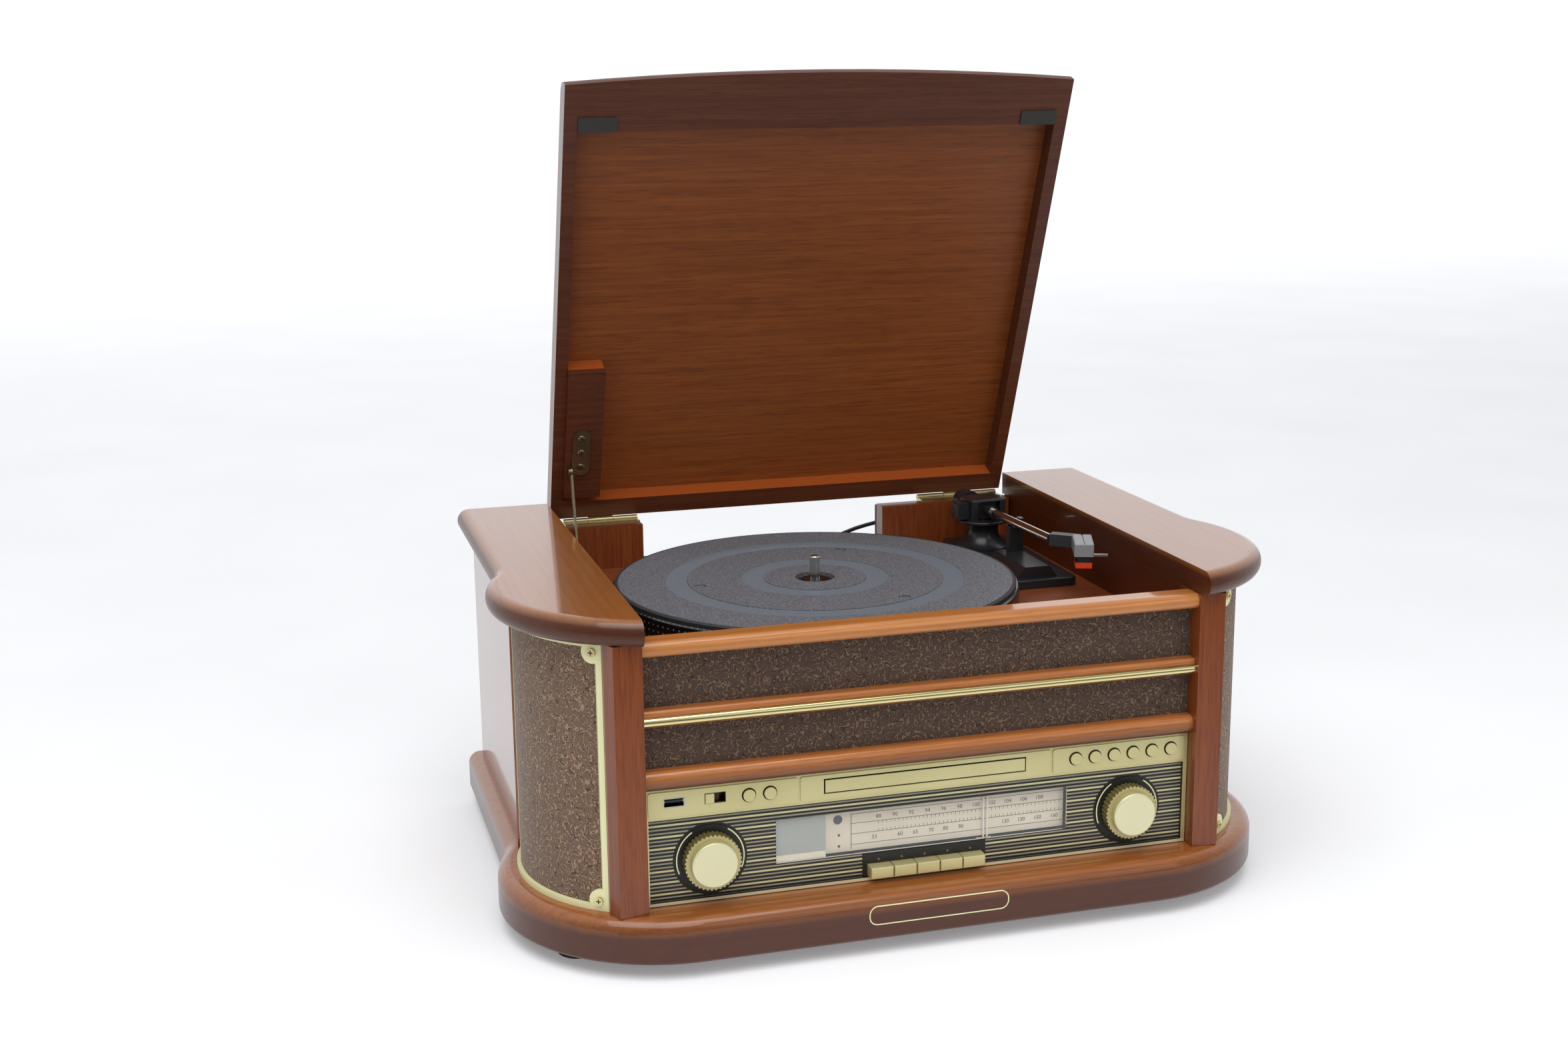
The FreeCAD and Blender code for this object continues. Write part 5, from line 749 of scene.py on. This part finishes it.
# painted sheen: the smoother rings get a lighter blue grey
speck, painted_ring_sheen = mottled(mat, where, 0.9, 2.0, ("#6b747e", "#79828c"))
rough = add(mat, "ValToRGB", {"Fac": speck},
            stops=[(0.3, "#4d4e53"), (0.5, "#626368"), (0.7, "#888a92")])
share = add(mat, "Math", {0: reach, 1: MAT_REACH * MM}, operation="DIVIDE")
ring = add(mat, "ValToRGB", {"Fac": share}, stops=[(0.0, "#000000")] + [
    (edge / MAT_REACH, code) for edge, code in zip(RINGS, ("#ffffff", "#000000") * 2)])
ring.color_ramp.interpolation = "CONSTANT"
colour = add(mat, "Mix", {0: ring, 6: rough, 7: painted_ring_sheen}, data_type="RGBA")
lip = add(mat, "Math", {0: reach, 1: MAT_LIP * MM}, operation=ABOVE)
colour = add(mat, "Mix", {0: lip, 6: colour, 7: tint("#2a2b2e")}, data_type="RGBA")
sheen = add(mat, "MapRange", {"Value": ring, "To Min": 0.6, "To Max": 0.36})
grip = add(mat, "MapRange", {"Value": ring, "To Min": 1.0, "To Max": 0.15})
height = add(mat, "Math", {0: speck, 1: grip}, operation="MULTIPLY")
join_to(mat, shader, colour, height, 0.12, Roughness=sheen)
paint(mat, "platter_mat")

platter, shader, where = fresh("dotted_black_enamel", Roughness=0.3, Coat_Weight=0.3, Coat_Roughness=0.1)
axes, reach = round_spindle(platter, where)
angle = add(platter, "Math", {0: axes.outputs["Y"], 1: axes.outputs["X"]}, operation="ARCTAN2")
column = add(platter, "Math", {0: angle, 1: DOTS / math.tau}, operation="MULTIPLY")
row = add(platter, "Math", {0: axes.outputs["Z"], 1: 1 / (DOT_ROW * MM)}, operation="MULTIPLY")
cell = add(platter, "CombineXYZ", {"X": column, "Y": row})
in_cell = add(platter, "VectorMath", {0: cell}, operation="FRACTION")
off = add(platter, "VectorMath", {0: in_cell, 1: (0.5, 0.5, 0.0)}, operation="DISTANCE")
dot = add(platter, "Math", {0: off, 1: DOT_SIZE}, operation=BELOW)
rim = add(platter, "Math", {0: reach, 1: RIM_INNER * MM}, operation=ABOVE)
dot = add(platter, "Math", {0: dot, 1: rim}, operation="MULTIPLY")
grain, tone = mottled(platter, where, 0.9, 2.0, ("#0c0c0e", "#131316"))
colour = add(platter, "Mix", {0: dot, 6: tone, 7: tint("#77787a")}, data_type="RGBA")
join_to(platter, shader, colour, grain, 0.01)
paint(platter, "platter")

# %% [markdown]
# Bare metal: the spindle is turned steel, the hinges are steel with a brass wash, and on
# the lid stay that wash has aged. The grille screws are brass and the transit screw on the
# deck is chromed. All screws are one node, so the distance from the middle tells them apart.

# %% Metals
GRILLE_SIDE = 150.0


def metal(name, deep, pale, roughness, grit, depth):
    """Bare or plated metal with fine tool marks."""
    bare_metal, shader, where = fresh(name, Roughness=roughness, Metallic=1.0)
    marks, tone = mottled(bare_metal, where, grit, 3.0, (deep, pale))
    join_to(bare_metal, shader, tone, marks, depth)
    return bare_metal


aged_brass = metal("aged_brass_steel", "#84765a", "#a09274", 0.34, 1.0, 0.01)
paint(aged_brass, "stay_bracket", "stay_arm")
paint(metal("brass_plated_steel", "#b0a172", "#cbbd92", 0.28, 1.0, 0.008),
      "hinge_leaves", "hinge_pins", "lid_leaves")
paint(metal("turned_steel", "#b3b0a6", "#c8c5bc", 0.26, 0.5, 0.006), "spindle")

screws, shader, where = fresh("brass_and_chrome_screws", Roughness=0.22, Metallic=1.0)
axes = add(screws, "SeparateXYZ", {0: where})
side = add(screws, "Math", {0: axes.outputs["X"]}, operation="ABSOLUTE")
outer = add(screws, "Math", {0: side, 1: GRILLE_SIDE * MM}, operation=ABOVE)
marks, bright, yellow = mottled(screws, where, 0.7, 2.0, CHROME, ("#cdbb86", "#dccb98"))
colour = add(screws, "Mix", {0: outer, 6: bright, 7: yellow}, data_type="RGBA")
join_to(screws, shader, colour, marks, 0.006)
paint(screws, "chrome_screws")

# %% [markdown]
# The small pieces that follow are modelled one by one and settled in the same way: their
# place is applied, and each gets a name, a body to ride on, a slot and a finish. What
# repeats is modelled once and copied, each copy with its own mesh.

# %% Settling a piece


def pick(*pieces):
    """Selects these pieces alone, the first as the active one."""
    bpy.ops.object.select_all(action="DESELECT")
    for piece in pieces:
        piece.select_set(True)
    bpy.context.view_layer.objects.active = pieces[0]


def settle(piece, name, body, finish):
    """Applies a piece's place and gives it its name, body, slot and finish."""
    pick(piece)
    bpy.ops.object.transform_apply(location=True, rotation=True, scale=True)
    piece.name = name
    piece.data.materials.clear()
    piece.data.materials.append(finish)
    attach(piece, body)
    print(name, len(piece.data.polygons), "faces")


def merge(pieces):
    """Joins several mesh objects into the first."""
    pick(*pieces)
    bpy.ops.object.join()
    return pieces[0]


def copied(model, spot, turn=None):
    """A copy of a piece with its own mesh, at a place and, where one is given, a turn."""
    piece = model.copy()
    piece.data = model.data.copy()
    bpy.context.scene.collection.objects.link(piece)
    piece.location = spot
    if turn:
        piece.rotation_euler = turn
    return piece


# %% [markdown]
# The dial card is printed with two scales: a frame line on the left, four long rules, a
# row of ticks on each scale and plain numbers. Ink has no height to speak of, so every
# mark is a sliver just before the card. One tick is repeated along the rule with an
# array, and the numbers are text turned to mesh.

# %% Dial print
INK_FACE, INK_THICK = 19.78, 0.1
RULES, RULE_WIDE = (42.2, 35.9, 29.0, 22.0), 0.3
FRAME_LEFT, FRAME_RIGHT = -46.4, 96.6
FRAME_MIDDLE, FRAME_TALL, FRAME_WIDE = 31.0, 24.0, 0.4
SCALE_START, NUMBER_STEP, NUMBER_TALL = -28.3, 10.86, 3.6
TICK_ROWS, TICKS, TICK_WIDE, TICK_TALL = (35.0, 29.9), 46, 0.25, 1.7
UPPER_ROW, LOWER_ROW = 38.9, 25.4


def bar(x, z, wide, tall):
    """One printed bar, a sliver just before the card."""
    bpy.ops.mesh.primitive_cube_add(size=1.0, location=place(x, INK_FACE, z),
                                    scale=(wide * MM, INK_THICK * MM, tall * MM))
    return bpy.context.object


ink_parts = [bar((FRAME_LEFT + FRAME_RIGHT) / 2, z, FRAME_RIGHT - FRAME_LEFT, RULE_WIDE) for z in RULES]
ink_parts.append(bar(FRAME_LEFT, FRAME_MIDDLE, FRAME_WIDE, FRAME_TALL))
for z in TICK_ROWS:
    tick = bar(SCALE_START, z, TICK_WIDE, TICK_TALL)
    bpy.ops.object.transform_apply(location=False, rotation=False, scale=True)
    row = tick.modifiers.new("row", "ARRAY")
    row.use_relative_offset = False
    row.use_constant_offset = True
    row.constant_offset_displace = (NUMBER_STEP / 4 * MM, 0, 0)
    row.count = TICKS
    bpy.ops.object.modifier_apply(modifier="row")
    ink_parts.append(tick)
upper = [(SCALE_START + NUMBER_STEP * i, UPPER_ROW, str(88 + 2 * i)) for i in range(11)]
lower = [(x, LOWER_ROW, number) for x, number in (
    (-31.1, "53"), (-14.0, "60"), (-3.6, "65"), (6.8, "70"), (16.5, "80"), (26.8, "90"),
    (57.1, "120"), (68.0, "130"), (79.3, "150"), (90.8, "160"))]
for x, z, number in upper + lower:
    bpy.ops.object.text_add(location=place(x, INK_FACE, z), rotation=(math.pi / 2, 0, 0))
    figure = bpy.context.object
    figure.data.body = number
    figure.data.size = NUMBER_TALL * MM
    figure.data.extrude = INK_THICK / 2 * MM
    figure.data.align_x, figure.data.align_y = "CENTER", "CENTER"
    bpy.ops.object.convert(target="MESH")
    ink_parts.append(figure)
ink_finish = moulded("printed_dial_ink", "#6e5f52", "#7a6b5d", 0.6, 0.6, 0.0)
ink = merge(ink_parts)
bpy.ops.object.mode_set(mode="EDIT")
bpy.ops.mesh.select_all(action="SELECT")
bpy.ops.mesh.remove_doubles(threshold=0.002 * MM)
bpy.ops.mesh.normals_make_consistent(inside=False)
bpy.ops.object.mode_set(mode="OBJECT")
settle(ink, "dial_print", "cabinet", ink_finish)

# %% [markdown]
# Beside the scale are a dark round eye for the remote control and two small lamps under
# it, and over each key there is one more lamp. Each is a low dome: a ball pressed flat and
# cut off at its middle.

# %% Eye and lamps
EYE = (-55.1, 19.9, 39.4)
DIAL_LAMPS = [(-54.4, 19.9, 29.1), (-54.4, 19.9, 21.8)]
KEY_LAMPS = [(15.3 * i, 12.4, 13.0) for i in range(-2, 3)]


def dome(radius, height, rings, face):
    """Low dome with its foot at the origin, its top towards the face direction."""
    bpy.ops.mesh.primitive_uv_sphere_add(segments=32, ring_count=rings, radius=1.0)
    ball = bpy.context.object
    bpy.ops.object.mode_set(mode="EDIT")
    bpy.ops.mesh.select_all(action="SELECT")
    bpy.ops.mesh.bisect(plane_co=(0, 0, 0), plane_no=(0, 0, 1), use_fill=True, clear_inner=True)
    bpy.ops.mesh.select_all(action="SELECT")
    bpy.ops.mesh.normals_make_consistent(inside=False)
    bpy.ops.object.mode_set(mode="OBJECT")
    bpy.ops.object.shade_smooth_by_angle(angle=math.radians(40))
    ball.scale = (radius * MM, radius * MM, height * MM)
    ball.rotation_euler = Vector(face).to_track_quat("Z", "Y").to_euler()
    return ball


eye_finish = moulded("dark_sensor_lens", "#39424c", "#46505b", 0.15, 2.0, 0.0)
lamp_finish = moulded("unlit_lamp_lens", "#6d4a3d", "#7d5647", 0.25, 0.8, 0.0)
eye = dome(3.0, 0.9, 16, (0, -1, 0))
eye.location = place(*EYE)
settle(eye, "sensor_eye", "cabinet", eye_finish)
model = dome(0.9, 0.5, 12, (0, -1, 0))
lamps = [copied(model, place(*spot)) for spot in DIAL_LAMPS + KEY_LAMPS]
bpy.data.objects.remove(model)
settle(merge(lamps), "indicator_lamps", "cabinet", lamp_finish)

# %% [markdown]
# The black discs round the knobs are edged with a gold printed line that leaves a gap at
# the top and the bottom. A short radial edge spun about the knob's axis gives the strip,
# and a thin solidify gives it the thickness of the print.

# %% Gold arcs round the knobs
ARC_RADIUS, ARC_WIDE, ARC_THICK, ARC_FACE = 21.2, 0.8, 0.1, 12.36
ARC_STARTS, ARC_SWEEP = (-22, 122), 80
arcs = []
for side in (-1, 1):
    for start in ARC_STARTS:
        bpy.ops.mesh.primitive_plane_add(size=1.0)
        strip = bpy.context.object
        choose_none("VERT")
        for vertex in strip.data.vertices:
            vertex.select = vertex.co.y > 0
        bpy.ops.object.mode_set(mode="EDIT")
        bpy.ops.mesh.delete(type="VERT")
        bpy.ops.mesh.select_all(action="SELECT")
        bpy.ops.transform.resize(value=(ARC_WIDE * MM, 1, 1))
        bpy.ops.transform.translate(value=(ARC_RADIUS * MM, 0.5, 0))
        bpy.ops.transform.rotate(value=math.radians(start), orient_axis="Y", center_override=(0, 0, 0))
        bpy.ops.mesh.spin(steps=32, angle=math.radians(ARC_SWEEP), center=(0, 0, 0), axis=(0, 1, 0))
        bpy.ops.object.mode_set(mode="OBJECT")
        thick = strip.modifiers.new("print", "SOLIDIFY")
        thick.thickness, thick.offset = ARC_THICK * MM, 0.0
        bpy.ops.object.modifier_apply(modifier="print")
        strip.location = place(side * KNOB[0], ARC_FACE, KNOB[1])
        arcs.append(strip)
settle(merge(arcs), "knob_arcs", "cabinet", grille_gold)

# %% [markdown]
# In the middle of the plinth front a plain rounded outline is printed in gold. A flat
# plate with rounded corners is inset, its middle is taken out, and the thin band that is
# left is pressed onto the plinth, whose upper edge curves back a little there.

# %% Outline on the plinth
OUTLINE_WIDE, OUTLINE_TALL, OUTLINE_CORNER = 92, 12.5, 5.5
OUTLINE_LINE, OUTLINE_THICK, OUTLINE_OFF = 0.7, 0.08, 0.06
bpy.ops.mesh.primitive_plane_add(size=1.0, rotation=(math.pi / 2, 0, 0))
outline = bpy.context.object
outline.scale = (OUTLINE_WIDE * MM, OUTLINE_TALL * MM, 1)
bpy.ops.object.transform_apply(location=False, rotation=True, scale=True)
bpy.ops.object.mode_set(mode="EDIT")
bpy.ops.mesh.select_all(action="SELECT")
bpy.ops.mesh.bevel(offset=OUTLINE_CORNER * MM, segments=10, affect="VERTICES")
bpy.ops.mesh.select_all(action="SELECT")
bpy.ops.mesh.inset(thickness=OUTLINE_LINE * MM)
bpy.ops.mesh.delete(type="FACE")
bpy.ops.object.mode_set(mode="OBJECT")
outline.location = place(0, -17.0, -11.75)
press = outline.modifiers.new("press", "SHRINKWRAP")
press.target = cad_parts["base_plinth"]
press.wrap_method = "PROJECT"
press.use_project_y = True
press.use_positive_direction = press.use_negative_direction = True
press.offset = OUTLINE_OFF * MM
bpy.ops.object.modifier_apply(modifier="press")
thick = outline.modifiers.new("print", "SOLIDIFY")
thick.thickness, thick.offset = OUTLINE_THICK * MM, 0.0
bpy.ops.object.modifier_apply(modifier="print")
settle(outline, "plinth_outline", "cabinet", grille_gold)

# %% [markdown]
# The grille screws have cross recesses, and three domed cross-head screws hold the stay's
# bracket to the lid. The shade inside each cross recess is painted: a thin dark cross on
# the head. A cross grows from a small block whose four sides are drawn out. The bracket's
# screws are placed as in the shut lid and then swung up with it.

# %% Cross recesses and bracket screws
BOSS_TURN = 37.0
SCREW_X, SCREW_Y, SCREW_Z = 208.14, 14.85, (6.5, 162.9)
BRACKET_X, BRACKET_Y = -158.5, (258.5, 270.5, 282.5)
HEAD_FOOT, HEAD_FACE = 165.2, 164.2


def cross(long, wide, deep):
    """A cross that faces the front, its face at the origin."""
    bpy.ops.mesh.primitive_cube_add(size=1.0)
    star = bpy.context.object
    star.scale = (wide * MM, deep * MM, wide * MM)
    bpy.ops.object.transform_apply(location=False, rotation=False, scale=True)
    choose_none("FACE")
    for face in star.data.polygons:
        face.select = abs(face.normal.y) < 0.5
    bpy.ops.object.mode_set(mode="EDIT")
    bpy.ops.mesh.extrude_faces_move(TRANSFORM_OT_shrink_fatten={"value": (long - wide) / 2 * MM})
    bpy.ops.object.mode_set(mode="OBJECT")
    return star


def lidded(x, y, z):
    """A point of the shut lid, in mm, where the open lid has it."""
    back, up = y - HINGE[0], z - HINGE[1]
    lean = math.radians(OPEN)
    return place(x, HINGE[0] + back * math.cos(lean) + up * math.sin(lean),
                 HINGE[1] + up * math.cos(lean) - back * math.sin(lean))


# painted shade of the cross recesses, a thin dark cross on each head
recess_shade_finish = moulded("painted_recess_shade", "#1d1c1a", "#292826", 0.6, 0.5, 0.0)
model = cross(3.2, 0.7, 0.1)
crosses = [copied(model, place(side * SCREW_X, SCREW_Y, z), (0, 0, math.radians(side * BOSS_TURN)))
           for side in (-1, 1) for z in SCREW_Z]
settle(merge(crosses), "screw_recess_shade", "cabinet", recess_shade_finish)

head_model = dome(2.7, 1.0, 14, (0, -1, 0))
pick(head_model)
bpy.ops.object.transform_apply(location=True, rotation=True, scale=True)
lean = (math.radians(90 - OPEN), 0, 0)
heads = [copied(head_model, lidded(BRACKET_X, y, HEAD_FOOT), lean) for y in BRACKET_Y]
settle(merge(heads), "bracket_screws", "lid", aged_brass)
slots = [copied(model, lidded(BRACKET_X, y, HEAD_FACE), lean) for y in BRACKET_Y]
settle(merge(slots), "bracket_recess_shade", "lid", recess_shade_finish)
for spare in (model, head_model):
    bpy.data.objects.remove(spare)
